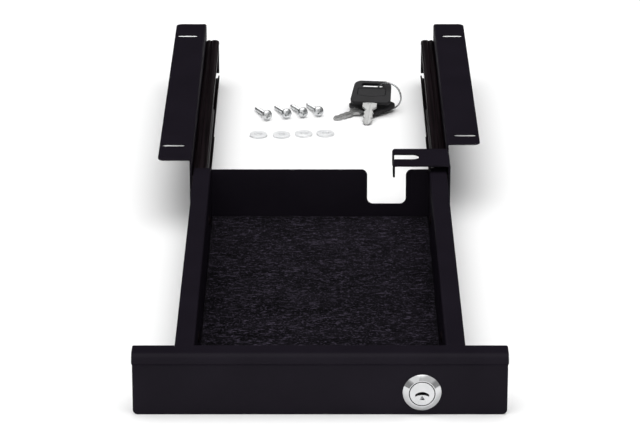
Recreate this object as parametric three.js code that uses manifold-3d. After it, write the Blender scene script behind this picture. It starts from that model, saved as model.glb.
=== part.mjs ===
// Under desk drawer safe: a felt lined steel tray on two ball bearing slides, hung from two bent
// brackets that screw under a desk top, with a cam lock that turns up into a catch on the right.
// Millimetres. +X is right and +Z up as seen from the front, and +Y runs to the rear.
// The drawer stands pulled out. The origin is under the middle of the whole thing.

import * as THREE from "three";
import { mergeVertices } from "three/addons/utils/BufferGeometryUtils.js";
import Module from "manifold-3d";

const wasm = await Module();
wasm.setup();

// Common values

const overrun = 5; // how far a cutting body runs past what it cuts
const seatGap = 0.3; // between two pieces that seat on each other
const bendSteps = 4; // facets in a bend of a sheet
const roundSteps = 6; // facets in a round corner
const turnSteps = 24; // facets round a turned piece
const samePoint = 1e-4; // points closer than this are one point

// Brackets

const mountHeight = 52; // from the lowest edge up to the desk top
const bracketSheet = 1.5;
const bracketRear = 350; // rear end of both brackets
const bracketLength = 345;
const bracketInnerX = 95.4; // inner face of the upright wall
const flangeEdgeX = 120.5; // outer edge of the screw flange
const flangeCornerRadius = 3;
const bracketBend = 1.2; // bend radius on the middle of the sheet
const screwSlotLength = 16;
const screwSlotWidth = 5;
const screwSlotX = 109.8;
const rearSlotInset = 33; // from the rear end of the flange to a slot
const leftFrontSlotInset = 32.4;
const rightFrontSlotInset = 19.8;

// Catch on the right bracket

const catchLength = 37;
const catchForward = 2; // how far the catch stands in front of the left bracket
const catchDrop = 4; // from the desk top down to the catch plate
const catchInnerX = 54.2;
const catchTab = 9.8; // height of the turned down end
const catchGap = 1; // relief between the catch and the flange
const catchSlotWidth = 13;
const catchSlotCorner = 4.8;
const catchCorner = 2.5;
const catchSlotEndX = 73.9;
const catchSlotInset = 19.8; // from the front edge of the catch to the middle of its slot

// Slides

const railHeight = 35;
const railDepth = 12.7;
const railSheet = 1.2;
const railRearInset = 5; // rail end to bracket end
const middleShorter = 6; // how much shorter than the outer member the middle one is
const innerShorter = 5;
const travelShorter = 10; // how much less than the outer member's length the drawer travels
const railTopDrop = 12.5; // from the desk top down to the rails
const ballRadius = 1.5;
const ballPlay = 0.25;
const ballPitch = 23;
const ballsInRow = 5;
const ballSteps = 8; // facets round a ball
const cageSheet = 0.6;
const cageMargin = 8; // from the end of a cage to its first ball
const cageWebGap = 0.6; // from a rail's web to the cage beside it
const lipDip = 0.8; // depth of the groove pressed into the lip
const lipCurl = 2.2; // bend radius of the lip's rolled edge
const lipReach = 10; // from the bracket wall to the middle of the rolled edge
const lipEdgeDepth = 3; // how far the rolled edge turns back
const middleWebOffset = 3.6;
const middleReach = 11;
const middleCurl = 1.3;
const innerReach = 6.3;
const innerCurl = 1;
const outerBallOffset = 7.5;
const innerBallOffset = 8.4;
const cageEdgeGap = 0.3;
const railBend = 1.4;
const smallBend = 0.7;
const stopSheet = 1.5;
const stopReach = 10.4;
const stopDrop = 11.5; // how far the stop reaches below the middle of the rail
const bumperThickness = 1.7;
const bumperReach = 9.2;
const bumperHalfHeight = 10;
const bumperRadius = 2;

// Rivets

const rivetRadius = 2;
const rivetHoleGap = 0.3;
const rivetHeadRadius = 4;
const rivetHeadHeight = 1.3;
const rivetInset = 55; // from the end of a rail to its rivet

// Tray

const traySheet = 1.2;
const trayFlangeDrop = 10; // from the desk top down to the tray's flanges
const trayFlangeEdgeX = 94;
const trayBottom = 2.5;
const trayOverhang = 2.5; // how far the side walls run past the inner members
const backWallInset = 2.7; // from that end to the back of the back wall
const trayBend = 0.9;
const frontWallDrop = 4.2; // from the top of the tray down to its front wall, under the roll
const flangeTipRadius = 1.5;
const notchLeftX = 35.2;
const notchWidth = 28.8;
const notchDepth = 27;
const notchRadius = 4.5;

// Felt mat

const feltThickness = 2;
const feltSideGap = 0.5;
const feltRearGap = 0.8;
const feltFrontGap = 13; // keeps the mat clear of the lock nut
const feltCorner = 2;

// Front panel

const panelSheet = 1.5;
const panelHalfWidth = 121;
const panelForward = 22; // from the closed panel's face back to the front of the brackets
const panelReturn = 15.4; // from the face back to the rear edge of the top
const panelRoll = 5.4; // outer radius of the rolled top edge
const rollProud = 1.2; // how far the roll stands in front of the face
const rollHeight = 7.3; // from the top down to the foot of the roll
const rollCrease = 0.85; // bend radius at the foot of the roll
const rollOverhang = 0.4; // how far the roll runs past the face at each end
const panelBottomCorner = 3.4;
const panelTopCorner = 1.5;

// Cam lock

const lockX = 65.8;
const lockZ = 15.6;
const lockRingRadius = 12.5;
const lockRingHeight = 2.7;
const lockRingEdge = 0.7; // height of the ring's rim, below its slope
const lockLipWidth = 0.8; // flat lip round the plug
const lockBodyRadius = 9.4;
const lockFlat = 8; // half the distance across the flats
const lockHoleGap = 0.3;
const plugFaceRadius = 8.1;
const plugFaceDepth = 2;
const plugRadius = 7;
const plugGap = 0.3;
const plugSquare = 3.6; // half the side of the square end
const nutHalfFlats = 11;
const nutThickness = 4;
const camLength = 33.8; // from the lock's axis to the tip
const camHalfWidth = 6.5;
const camHubRadius = 8.5;
const camThickness = 2;
const camScrewRadius = 4.6;
const camScrewHead = 2;
const camScrewShank = 1.6;
const camScrewDepth = 5;
const keywayWidth = 9;
const keywayHeight = 1.5;
const keywayRise = 1.2;
const keywayStemWidth = 3.2;
const keywayStemDepth = 3.8;
const keywayDepth = 9;

// Loose fittings that come with the drawer

const floorGap = 0.1;
const screwHeadRadius = 4.3;
const screwHeadHeight = 2.8;
const screwShankRadius = 2;
const screwLength = 30; // under the head
const screwPoint = 6;
const screwHeading = 0.36;
const screwPlaces = [
  [-43.4, 250.5],
  [-27.5, 254.5],
  [-14.2, 257.5],
  [-1.2, 260.5],
];
const washerRadius = 7.2;
const washerHoleRadius = 3.1;
const washerThickness = 2;
const washerChamfer = 0.6;
const washerPlaces = [
  [-49.6, 210.5],
  [-31, 210.5],
  [-13.2, 213],
  [4.3, 213.8],
];

// Keys

const bowRearWidth = 30;
const bowFrontWidth = 33.5;
const bowLength = 28;
const bowThickness = 3.2;
const bowRearCorner = 6;
const bowFrontCorner = 4;
const bowSlotWidth = 18;
const bowSlotHeight = 4.6;
const bowSlotInset = 3.2; // from the rear edge of the bow to its slot
const bowPanelWidth = 23;
const bowPanelHeight = 9;
const bowPanelBulge = 2; // how far the front edge of the recess bows forward
const bowPanelInset = 2; // from the slot to the recess
const bowPanelDepth = 0.5;
const bladeWidth = 8;
const bladeThickness = 2;
const bladeLength = 27; // beyond the bow
const bladeTang = 5; // inside the bow
const bladeShoulderWidth = 11.6;
const bladeShoulderLength = 5;
const bladeTip = 4;
const bladeCutDepth = 1.3;
const bladeCuts = 3;
const ringRadius = 11;
const ringWireRadius = 0.8;
const ringPlace = [56.6, 278.4];
const ringHeading = -0.442;
const ringTilt = 0.022;
const ringSteps = 28;
const ringSides = 6;
const lowerHeading = -0.9;
const lowerCrossing = 3.828; // how far round the ring it passes through this key's slot
const lowerSlotShift = -2.06; // along the slot, from its middle to the ring
const upperHeading = -0.12;
const upperCrossing = 2.48;
const upperSlotShift = 5.14;

// Values worked out from the ones above

const bracketFront = bracketRear - bracketLength;
const bracketOuterX = bracketInnerX + bracketSheet;
const catchFront = bracketFront - catchForward;
const catchRear = catchFront + catchLength;
const catchTop = mountHeight - catchDrop;
const catchSlotY = catchFront + catchSlotInset;
const railLength = bracketLength - railRearInset;
const middleLength = railLength - middleShorter;
const innerLength = railLength - innerShorter;
const travel = railLength - travelShorter;
const railRear = bracketRear - railRearInset;
const railFront = railRear - railLength;
const railMidZ = mountHeight - railTopDrop - railHeight / 2;
const stopFace = railRear - stopSheet;
const bumperFace = stopFace - seatGap - bumperThickness;
const middleRear = bumperFace - 2 * seatGap - travel / 2;
const innerRear = bumperFace - 2 * seatGap - travel;
const outerBallV = railHeight / 2 - railSheet - ballPlay - ballRadius;
const middleFlangeV = outerBallV - ballRadius - ballPlay - railSheet / 2;
const innerBallV = middleFlangeV - railSheet / 2 - ballPlay - ballRadius;
const innerFlangeV = innerBallV - ballRadius - ballPlay - railSheet / 2;
const trayTop = mountHeight - trayFlangeDrop;
const trayOuterX = bracketInnerX - railDepth - seatGap;
const trayInnerX = trayOuterX - traySheet;
const trayFloorTop = trayBottom + traySheet;
const trayRear = innerRear + trayOverhang;
const backWallRear = trayRear - backWallInset;
const panelFaceY = bracketFront - travel - panelForward;
const panelBack = panelFaceY + panelSheet;
const frontWallFront = panelBack + seatGap;
const frontWallBack = frontWallFront + traySheet;
const panelRearEdge = panelFaceY + panelReturn;
const camMidY = catchSlotY - travel;
const lockBodyEnd = camMidY - camThickness / 2 - seatGap;
const bowSlotY = bowLength / 2 - bowSlotInset - bowSlotHeight / 2;

// Solids from three.js geometries, and back again

function solid(geometry) {
  const bare = geometry.index ? geometry.toNonIndexed() : geometry.clone();
  bare.deleteAttribute("normal");
  bare.deleteAttribute("uv");
  const merged = mergeVertices(bare, samePoint);
  return new wasm.Manifold(new wasm.Mesh({
    numProp: 3,
    vertProperties: merged.attributes.position.array,
    triVerts: new Uint32Array(merged.index.array),
  }));
}

function geometryOf(made) {
  const mesh = made.getMesh();
  const geometry = new THREE.BufferGeometry();
  geometry.setAttribute("position", new THREE.BufferAttribute(mesh.vertProperties, 3));
  geometry.setIndex(new THREE.BufferAttribute(mesh.triVerts, 1));
  const faceted = geometry.toNonIndexed();
  faceted.computeVertexNormals();
  return faceted;
}

function join(first, ...others) {
  return others.reduce((sum, other) => sum.add(other), first);
}

function cut(first, ...others) {
  return others.reduce((rest, other) => rest.subtract(other), first);
}

function keep(first, ...others) {
  return others.reduce((rest, other) => rest.intersect(other), first);
}

// Outlines

function polygon(points) {
  return new THREE.Shape(points.map(([x, y]) => new THREE.Vector2(x, y)));
}

// A closed outline whose corners [x, y, radius] are rounded, or sharp where no radius is given.
function rounded(corners, steps = roundSteps) {
  const count = corners.length;
  const points = corners.flatMap((corner, i) =>
    filletPoints(corners[(i + count - 1) % count], corner, corners[(i + 1) % count], steps));
  return polygon(points.filter(([x, y], i) => {
    const [beforeX, beforeY] = points.at(i - 1);
    return Math.hypot(x - beforeX, y - beforeY) > samePoint;
  }));
}

// The points that round one corner between its two neighbours.
function filletPoints(before, corner, after, steps) {
  const radius = corner[2] ?? 0;
  const at = new THREE.Vector2(corner[0], corner[1]);
  const back = new THREE.Vector2(before[0], before[1]).sub(at).normalize();
  const ahead = new THREE.Vector2(after[0], after[1]).sub(at).normalize();
  const half = Math.acos(THREE.MathUtils.clamp(back.dot(ahead), -1, 1)) / 2;
  if (!radius || Math.PI / 2 - half < 1e-6) return [[at.x, at.y]];
  const middle = back.clone().add(ahead).normalize();
  const centre = at.clone().addScaledVector(middle, radius / Math.sin(half));
  const start = at.clone().addScaledVector(back, radius / Math.tan(half)).sub(centre);
  const turn = (Math.PI - 2 * half) * Math.sign(back.cross(start));
  const points = [];
  for (let i = 0; i <= steps; i += 1) {
    const spoke = start.clone().rotateAround(new THREE.Vector2(), turn * i / steps);
    points.push([centre.x + spoke.x, centre.y + spoke.y]);
  }
  return points;
}

function rectangle(x0, y0, x1, y1, radius = 0) {
  return rounded([[x0, y0, radius], [x1, y0, radius], [x1, y1, radius], [x0, y1, radius]]);
}

function slot(x, y, length, width) {
  const end = width / 2;
  return rectangle(x - length / 2, y - end, x + length / 2, y + end, end);
}

function disc(radius, steps = turnSteps) {
  const points = [];
  for (let i = 0; i < steps; i += 1) {
    const angle = 2 * Math.PI * i / steps;
    points.push([radius * Math.cos(angle), radius * Math.sin(angle)]);
  }
  return polygon(points);
}

// The section of a bent sheet: its middle line, with a radius at each bend, given a thickness.
function bentSheet(line, sheet) {
  const last = line.length - 1;
  const path = line.flatMap((corner, i) => (i === 0 || i === last
    ? [[corner[0], corner[1]]]
    : filletPoints(line[i - 1], corner, line[i + 1], bendSteps)));
  const points = path.map(([x, y]) => new THREE.Vector2(x, y));
  const sides = points.map((point, i) => {
    const from = points[Math.max(i - 1, 0)];
    const to = points[Math.min(i + 1, points.length - 1)];
    const into = point.clone().sub(from).normalize();
    const out = to.clone().sub(point).normalize();
    const along = into.clone().add(out).normalize();
    const stretch = 1 / Math.max(along.dot(i === 0 ? out : into), 0.5);
    return new THREE.Vector2(-along.y, along.x).multiplyScalar(stretch * sheet / 2);
  });
  const left = points.map((point, i) => point.clone().add(sides[i]));
  const right = points.map((point, i) => point.clone().sub(sides[i])).reverse();
  return new THREE.Shape([...left, ...right]);
}

// Solids pulled from an outline along each axis

function pulled(shape, depth) {
  return new THREE.ExtrudeGeometry(shape, { depth, bevelEnabled: false, curveSegments: roundSteps });
}

// Outline in X and Z, from y0 to y1.
function alongY(shape, y0, y1) {
  return solid(pulled(shape, y1 - y0).rotateX(Math.PI / 2).translate(0, y1, 0));
}

// Outline in Y and Z, from x0 to x1.
function alongX(shape, x0, x1) {
  const turn = new THREE.Matrix4().makeBasis(
    new THREE.Vector3(0, 1, 0), new THREE.Vector3(0, 0, 1), new THREE.Vector3(1, 0, 0));
  return solid(pulled(shape, x1 - x0).applyMatrix4(turn).translate(x0, 0, 0));
}

// Outline in X and Y, from z0 to z1.
function alongZ(shape, z0, z1) {
  return solid(pulled(shape, z1 - z0).translate(0, 0, z0));
}

function block(x0, y0, z0, x1, y1, z1) {
  return alongZ(rectangle(x0, y0, x1, y1), z0, z1);
}

// A turned piece round the Y axis, from its outline as [radius, y], listed with y rising outside.
function turned(points, steps = turnSteps) {
  const outline = points.map(([radius, y]) => new THREE.Vector2(radius, y));
  return solid(new THREE.LatheGeometry(outline, steps));
}

function mirrored(made) {
  return made.mirror([1, 0, 0]);
}

// Materials

function finish(color, roughness, metalness) {
  return new THREE.MeshStandardMaterial({ color, roughness, metalness });
}

const coated = () => finish(0x222024, 0.55, 0.3);
const blackRail = () => finish(0x1b1719, 0.4, 0.6);
const bareSteel = () => finish(0xb9bbbe, 0.25, 1);
const chrome = () => finish(0xd9dadd, 0.12, 1);
const feltCloth = () => finish(0x242128, 0.95, 0);
const blackRubber = () => finish(0x151416, 0.8, 0);
const zincSteel = () => finish(0xb4b6b8, 0.3, 1);
const nylon = () => finish(0xe9eaec, 0.45, 0);
const keyPlastic = () => finish(0x3a393d, 0.5, 0);

const drawerSafe = new THREE.Group();

function place(parent, name, made, material) {
  const mesh = new THREE.Mesh(geometryOf(made), material);
  mesh.name = name;
  parent.add(mesh);
  return mesh;
}

// Brackets

function screwSlotAt(y) {
  return alongZ(slot(screwSlotX, y, screwSlotLength, screwSlotWidth),
    mountHeight - bracketSheet - overrun, mountHeight + overrun);
}

// The right hand bracket's wall and outward flange, without holes.
function bracketAngle(wallFront, flangeFront) {
  const wallX = bracketInnerX + bracketSheet / 2;
  const flangeZ = mountHeight - bracketSheet / 2;
  const section = bentSheet([[wallX, 0], [wallX, flangeZ, bracketBend], [flangeEdgeX, flangeZ]], bracketSheet);
  const tipRound = alongZ(rounded([
    [bracketInnerX - overrun, flangeFront],
    [flangeEdgeX, flangeFront, flangeCornerRadius],
    [flangeEdgeX, bracketRear, flangeCornerRadius],
    [bracketInnerX - overrun, bracketRear],
  ]), -overrun, mountHeight + overrun);
  const angle = keep(alongY(section, flangeFront, bracketRear), tipRound);
  if (wallFront === flangeFront) return angle;
  const wallTop = catchTop - bracketSheet - catchGap;
  return join(angle, block(bracketInnerX, wallFront, 0, bracketOuterX, flangeFront + bracketBend, wallTop));
}

function rivetHoles(x0, x1, ys) {
  return ys.map((y) => solid(new THREE.CylinderGeometry(
    rivetRadius + rivetHoleGap, rivetRadius + rivetHoleGap, x1 - x0, turnSteps / 2)
    .rotateZ(Math.PI / 2).translate((x0 + x1) / 2, y, railMidZ)));
}

const bracketRivetYs = [railFront + rivetInset, railRear - rivetInset];
const trayRivetYs = [innerRear - innerLength + rivetInset, innerRear - rivetInset];

function leftBracket() {
  const angle = bracketAngle(bracketFront, bracketFront);
  return mirrored(cut(angle,
    screwSlotAt(bracketFront + leftFrontSlotInset),
    screwSlotAt(bracketRear - rearSlotInset),
    ...rivetHoles(bracketInnerX - overrun, bracketOuterX + overrun, bracketRivetYs)));
}

// The catch: the front of the same sheet, bent inwards lower down, with its end turned down.
function catchPlate() {
  const wallX = bracketInnerX + bracketSheet / 2;
  const plateZ = catchTop - bracketSheet / 2;
  const tabX = catchInnerX + bracketSheet / 2;
  const foot = catchTop - catchTab;
  const section = bentSheet([
    [wallX, 0], [wallX, plateZ, bracketBend], [tabX, plateZ, bracketBend], [tabX, foot],
  ], bracketSheet);
  const opening = alongZ(rounded([
    [catchInnerX - overrun, catchSlotY - catchSlotWidth / 2],
    [catchSlotEndX, catchSlotY - catchSlotWidth / 2, catchSlotCorner],
    [catchSlotEndX, catchSlotY + catchSlotWidth / 2, catchSlotCorner],
    [catchInnerX - overrun, catchSlotY + catchSlotWidth / 2],
  ]), foot - overrun, catchTop + overrun);
  const plan = alongZ(rounded([
    [catchInnerX, catchFront],
    [bracketOuterX, catchFront],
    [bracketOuterX, catchRear],
    [catchInnerX, catchRear, catchCorner],
  ]), -overrun, mountHeight);
  return cut(keep(alongY(section, catchFront, catchRear), plan), opening);
}

function rightBracket() {
  const flangeFront = catchRear + catchGap;
  return cut(join(bracketAngle(catchFront, flangeFront), catchPlate()),
    screwSlotAt(flangeFront + rightFrontSlotInset),
    screwSlotAt(bracketRear - rearSlotInset),
    ...rivetHoles(bracketInnerX - overrun, bracketOuterX + overrun, bracketRivetYs));
}

place(drawerSafe, "left_bracket", leftBracket(), coated());
place(drawerSafe, "right_bracket", rightBracket(), coated());

// Slides. A section is drawn in offset from the bracket wall and height from the rail's middle.

function railPoint(offset, height, radius) {
  return [bracketInnerX - offset, railMidZ + height, radius];
}

// A symmetric section from its upper half, listed from the free edge to the web.
function railSection(upperHalf, sheet) {
  const lowerHalf = upperHalf.map(([offset, height, radius]) => [offset, -height, radius]).reverse();
  return bentSheet([...upperHalf, ...lowerHalf].map((corner) => railPoint(...corner)), sheet);
}

function outerRail() {
  const web = railSheet / 2;
  const crest = railHeight / 2 - railSheet / 2;
  const dip = crest - lipDip;
  const grooveFoot = web + railBend + smallBend;
  const grooveEnd = outerBallOffset - ballRadius - railSheet / 2;
  const section = railSection([
    [lipReach, crest - lipEdgeDepth],
    [lipReach, crest, lipCurl],
    [grooveEnd, crest, smallBend],
    [grooveEnd - lipDip, dip, smallBend],
    [grooveFoot + lipDip, dip, smallBend],
    [grooveFoot, crest, smallBend],
    [web, crest, railBend],
  ], railSheet);
  const stop = alongY(rectangle(bracketInnerX - stopReach, railMidZ - stopDrop,
    bracketInnerX - railSheet / 2, railMidZ + crest, smallBend), stopFace, railRear);
  const holes = rivetHoles(bracketInnerX - railSheet - overrun, bracketInnerX + overrun, bracketRivetYs);
  return cut(join(alongY(section, railFront, railRear), stop), ...holes);
}

function middleRail() {
  const section = railSection([
    [middleReach, middleFlangeV - middleCurl],
    [middleReach, middleFlangeV, middleCurl * 0.9],
    [middleWebOffset, middleFlangeV, railBend],
  ], railSheet);
  return alongY(section, middleRear - middleLength, middleRear);
}

function innerRail() {
  const section = railSection([
    [innerReach, innerFlangeV + innerCurl],
    [innerReach, innerFlangeV, innerCurl * 0.8],
    [railDepth - railSheet / 2, innerFlangeV, railBend],
  ], railSheet);
  const holes = rivetHoles(trayOuterX - overrun, bracketInnerX - railDepth + railSheet + overrun, trayRivetYs);
  return cut(alongY(section, innerRear - innerLength, innerRear), ...holes);
}

// A cage: a bent strip that carries a row of balls along its upper and its lower edge.
function ballCage(webOffset, edgeOffset, ballOffset, ballV, middleY) {
  const half = (ballsInRow - 1) * ballPitch / 2;
  const section = railSection([
    [edgeOffset, ballV],
    [webOffset, ballV, cageSheet],
  ], cageSheet);
  const strip = alongY(section, middleY - half - cageMargin, middleY + half + cageMargin);
  const balls = [];
  for (let i = 0; i < ballsInRow; i += 1) {
    for (const side of [-1, 1]) {
      balls.push(solid(new THREE.SphereGeometry(ballRadius, ballSteps, ballSteps / 2).translate(
        bracketInnerX - ballOffset, middleY - half + i * ballPitch, railMidZ + side * ballV)));
    }
  }
  return join(strip, ...balls);
}

const outerCageWeb = railSheet + cageWebGap + cageSheet / 2;
const outerCageEdge = lipReach - railSheet / 2 - cageEdgeGap;
const innerCageWeb = middleWebOffset + railSheet / 2 + cageWebGap + cageSheet / 2;
const innerCageEdge = middleReach - railSheet / 2 + cageEdgeGap;
const outerCageY = (railFront + middleRear) / 2;
const innerCageY = (middleRear - middleLength + innerRear) / 2;

// A rubber buffer in front of the stop, which the drawer closes against.
function railBumper() {
  return alongY(rectangle(bracketInnerX - bumperReach, railMidZ - bumperHalfHeight,
    bracketInnerX - railSheet - seatGap, railMidZ + bumperHalfHeight, bumperRadius),
  bumperFace, bumperFace + bumperThickness);
}

// A rivet along X with its head at x0 and its shank reaching x1.
function rivet(x0, x1, y) {
  const toward = Math.sign(x1 - x0);
  const shank = Math.abs(x1 - x0);
  const made = turned([
    [0, -rivetHeadHeight],
    [rivetHeadRadius * 0.6, -rivetHeadHeight],
    [rivetHeadRadius, -rivetHeadHeight * 0.3],
    [rivetHeadRadius, 0],
    [rivetRadius, 0],
    [rivetRadius, shank],
    [0, shank],
  ], turnSteps / 2);
  return made.rotate([0, 0, -90 * toward]).translate([x0, y, railMidZ]);
}

const sides = [["left", mirrored], ["right", (made) => made]];

for (const [side, handed] of sides) {
  place(drawerSafe, `${side}_outer_rail`, handed(outerRail()), blackRail());
  place(drawerSafe, `${side}_middle_rail`, handed(middleRail()), blackRail());
  place(drawerSafe, `${side}_inner_rail`, handed(innerRail()), blackRail());
  place(drawerSafe, `${side}_outer_ball_cage`, handed(ballCage(
    outerCageWeb, outerCageEdge, outerBallOffset, outerBallV, outerCageY)), bareSteel());
  place(drawerSafe, `${side}_inner_ball_cage`, handed(ballCage(
    innerCageWeb, innerCageEdge, innerBallOffset, innerBallV, innerCageY)), bareSteel());
  place(drawerSafe, `${side}_rail_bumper`, handed(railBumper()), blackRubber());
  ["front", "rear"].forEach((end, i) => {
    place(drawerSafe, `${side}_bracket_rivet_${end}`,
      handed(rivet(bracketOuterX + seatGap, bracketInnerX - railSheet, bracketRivetYs[i])), blackRail());
    place(drawerSafe, `${side}_tray_rivet_${end}`,
      handed(rivet(trayInnerX - seatGap, bracketInnerX - railDepth + railSheet, trayRivetYs[i])), blackRail());
  });
}

// Tray

function backWall() {
  const notchRight = notchLeftX + notchWidth;
  const notchFoot = trayTop - notchDepth;
  const outline = rounded([
    [-trayInnerX - traySheet / 2, trayBottom + traySheet / 2],
    [trayInnerX + traySheet / 2, trayBottom + traySheet / 2],
    [trayInnerX + traySheet / 2, trayTop],
    [notchRight, trayTop, notchRadius],
    [notchRight, notchFoot, notchRadius],
    [notchLeftX, notchFoot, notchRadius],
    [notchLeftX, trayTop, notchRadius],
    [-trayInnerX - traySheet / 2, trayTop],
  ]);
  return alongY(outline, backWallRear - traySheet, backWallRear);
}

function tray() {
  const wallX = trayInnerX + traySheet / 2;
  const floorZ = trayBottom + traySheet / 2;
  const flangeZ = trayTop - traySheet / 2;
  const section = bentSheet([
    [-trayFlangeEdgeX, flangeZ],
    [-wallX, flangeZ, trayBend],
    [-wallX, floorZ, trayBend],
    [wallX, floorZ, trayBend],
    [wallX, flangeZ, trayBend],
    [trayFlangeEdgeX, flangeZ],
  ], traySheet);
  const plan = alongZ(rounded([
    [-trayOuterX, frontWallFront],
    [trayOuterX, frontWallFront],
    [trayOuterX, panelRearEdge + seatGap],
    [trayFlangeEdgeX, panelRearEdge + seatGap, flangeTipRadius],
    [trayFlangeEdgeX, trayRear, flangeTipRadius],
    [-trayFlangeEdgeX, trayRear, flangeTipRadius],
    [-trayFlangeEdgeX, panelRearEdge + seatGap, flangeTipRadius],
    [-trayOuterX, panelRearEdge + seatGap],
  ]), -overrun, mountHeight);
  const channel = keep(alongY(section, frontWallFront, trayRear), plan);
  const frontWall = block(-wallX, frontWallFront, floorZ, wallX, frontWallBack, trayTop);
  const underTop = block(-trayFlangeEdgeX - overrun, frontWallFront - overrun, trayTop - panelSheet - seatGap,
    trayFlangeEdgeX + overrun, panelRearEdge + seatGap, trayTop + overrun);
  const underRoll = block(-trayFlangeEdgeX - overrun, frontWallFront - overrun, trayTop - frontWallDrop,
    trayFlangeEdgeX + overrun, panelFaceY + panelRoll, trayTop + overrun);
  const holeYs = trayRivetYs;
  return cut(join(channel, frontWall, backWall()), underTop, underRoll,
    lockHole(frontWallFront - overrun, frontWallBack + overrun),
    ...rivetHoles(trayInnerX - overrun, trayOuterX + overrun, holeYs),
    ...rivetHoles(trayInnerX - overrun, trayOuterX + overrun, holeYs).map(mirrored));
}

function feltMat() {
  return alongZ(rectangle(-trayInnerX + feltSideGap, frontWallBack + feltFrontGap,
    trayInnerX - feltSideGap, backWallRear - traySheet - feltRearGap, feltCorner),
  trayFloorTop + seatGap, trayFloorTop + seatGap + feltThickness);
}

// Front panel: one sheet that rolls forwards at the top and turns back over the tray.
function frontPanel() {
  const faceLine = panelFaceY + panelSheet / 2;
  const rollLine = faceLine - rollProud;
  const topLine = trayTop - panelSheet / 2;
  const rollFoot = trayTop - rollHeight;
  const section = bentSheet([
    [panelRearEdge, topLine],
    [rollLine, topLine, panelRoll - panelSheet / 2],
    [rollLine, rollFoot + rollProud, rollCrease],
    [faceLine, rollFoot, rollCrease],
    [faceLine, 0],
  ], panelSheet);
  const rollHalf = panelHalfWidth + rollOverhang;
  const front = alongY(rounded([
    [-panelHalfWidth, 0, panelBottomCorner],
    [panelHalfWidth, 0, panelBottomCorner],
    [panelHalfWidth, rollFoot],
    [rollHalf, rollFoot + rollProud],
    [rollHalf, trayTop + overrun],
    [-rollHalf, trayTop + overrun],
    [-rollHalf, rollFoot + rollProud],
    [-panelHalfWidth, rollFoot],
  ]), panelFaceY - overrun, panelRearEdge + overrun);
  const plan = alongZ(rounded([
    [-rollHalf, panelFaceY - overrun],
    [rollHalf, panelFaceY - overrun],
    [rollHalf, panelRearEdge, panelTopCorner],
    [-rollHalf, panelRearEdge, panelTopCorner],
  ]), -overrun, mountHeight);
  return cut(keep(alongX(section, -rollHalf, rollHalf), front, plan),
    lockHole(panelFaceY - overrun, panelBack + overrun));
}

// Cam lock. Its pieces are turned about their own axis and then moved to the lock's place.

function atLock(made) {
  return made.translate([lockX, 0, lockZ]);
}

// The hole with two flats that keeps the lock from turning.
function lockHole(y0, y1) {
  const flat = lockFlat + lockHoleGap;
  return atLock(keep(alongY(disc(lockBodyRadius + lockHoleGap), y0, y1),
    alongY(rectangle(-flat, -lockRingRadius, flat, lockRingRadius), y0, y1)));
}

function lockHousing() {
  const ringFront = panelFaceY - seatGap - lockRingHeight;
  const ringBack = panelFaceY - seatGap;
  const bore = plugRadius + plugGap;
  const mouth = plugFaceRadius + plugGap;
  const mouthFoot = ringFront + plugFaceDepth;
  const made = turned([
    [bore, mouthFoot],
    [mouth, mouthFoot],
    [mouth, ringFront],
    [mouth + lockLipWidth, ringFront],
    [lockRingRadius, ringBack - lockRingEdge],
    [lockRingRadius, ringBack],
    [lockBodyRadius, ringBack],
    [lockBodyRadius, lockBodyEnd],
    [bore, lockBodyEnd],
    [bore, mouthFoot],
  ]);
  const sideCuts = [-1, 1].map((side) => alongY(rectangle(
    Math.min(side * lockFlat, side * lockRingRadius), -lockRingRadius,
    Math.max(side * lockFlat, side * lockRingRadius), lockRingRadius), ringBack, lockBodyEnd + overrun));
  return atLock(cut(made, ...sideCuts));
}

function lockNut() {
  const corner = nutHalfFlats / Math.cos(Math.PI / 6);
  const y0 = frontWallBack + seatGap;
  return atLock(cut(alongY(disc(corner, 6), y0, y0 + nutThickness),
    alongY(disc(lockBodyRadius + lockHoleGap), y0 - overrun, y0 + nutThickness + overrun)));
}

// The arched key slot with its short stem.
function keyway(y0, y1) {
  const arch = polygon([
    [-keywayWidth / 2, -keywayRise],
    [0, 0],
    [keywayWidth / 2, -keywayRise],
    [keywayWidth / 2, keywayHeight - keywayRise],
    [keywayWidth / 4, keywayHeight - keywayRise / 4],
    [-keywayWidth / 4, keywayHeight - keywayRise / 4],
    [-keywayWidth / 2, keywayHeight - keywayRise],
  ]);
  const stem = polygon([
    [-keywayStemWidth / 2, -keywayStemDepth],
    [keywayStemWidth / 2, -keywayStemDepth],
    [0, keywayHeight / 2],
  ]);
  return join(alongY(arch, y0, y1), alongY(stem, y0, y1));
}

function lockPlug() {
  const faceY = panelFaceY - seatGap - lockRingHeight;
  const squareFront = camMidY - camThickness / 2;
  const squareEnd = camMidY + camThickness / 2;
  const made = turned([
    [0, faceY],
    [plugFaceRadius - plugGap, faceY],
    [plugFaceRadius, faceY + plugGap],
    [plugFaceRadius, faceY + plugFaceDepth - plugGap],
    [plugRadius, faceY + plugFaceDepth - plugGap],
    [plugRadius, squareFront - seatGap],
    [0, squareFront - seatGap],
  ]);
  const square = alongY(rectangle(-plugSquare, -plugSquare, plugSquare, plugSquare), squareFront - overrun, squareEnd);
  const screwHole = alongY(disc(camScrewShank + seatGap), squareEnd - camScrewDepth - overrun, squareEnd + overrun);
  return atLock(cut(join(made, square), keyway(faceY - overrun, faceY + keywayDepth), screwHole));
}

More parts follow.
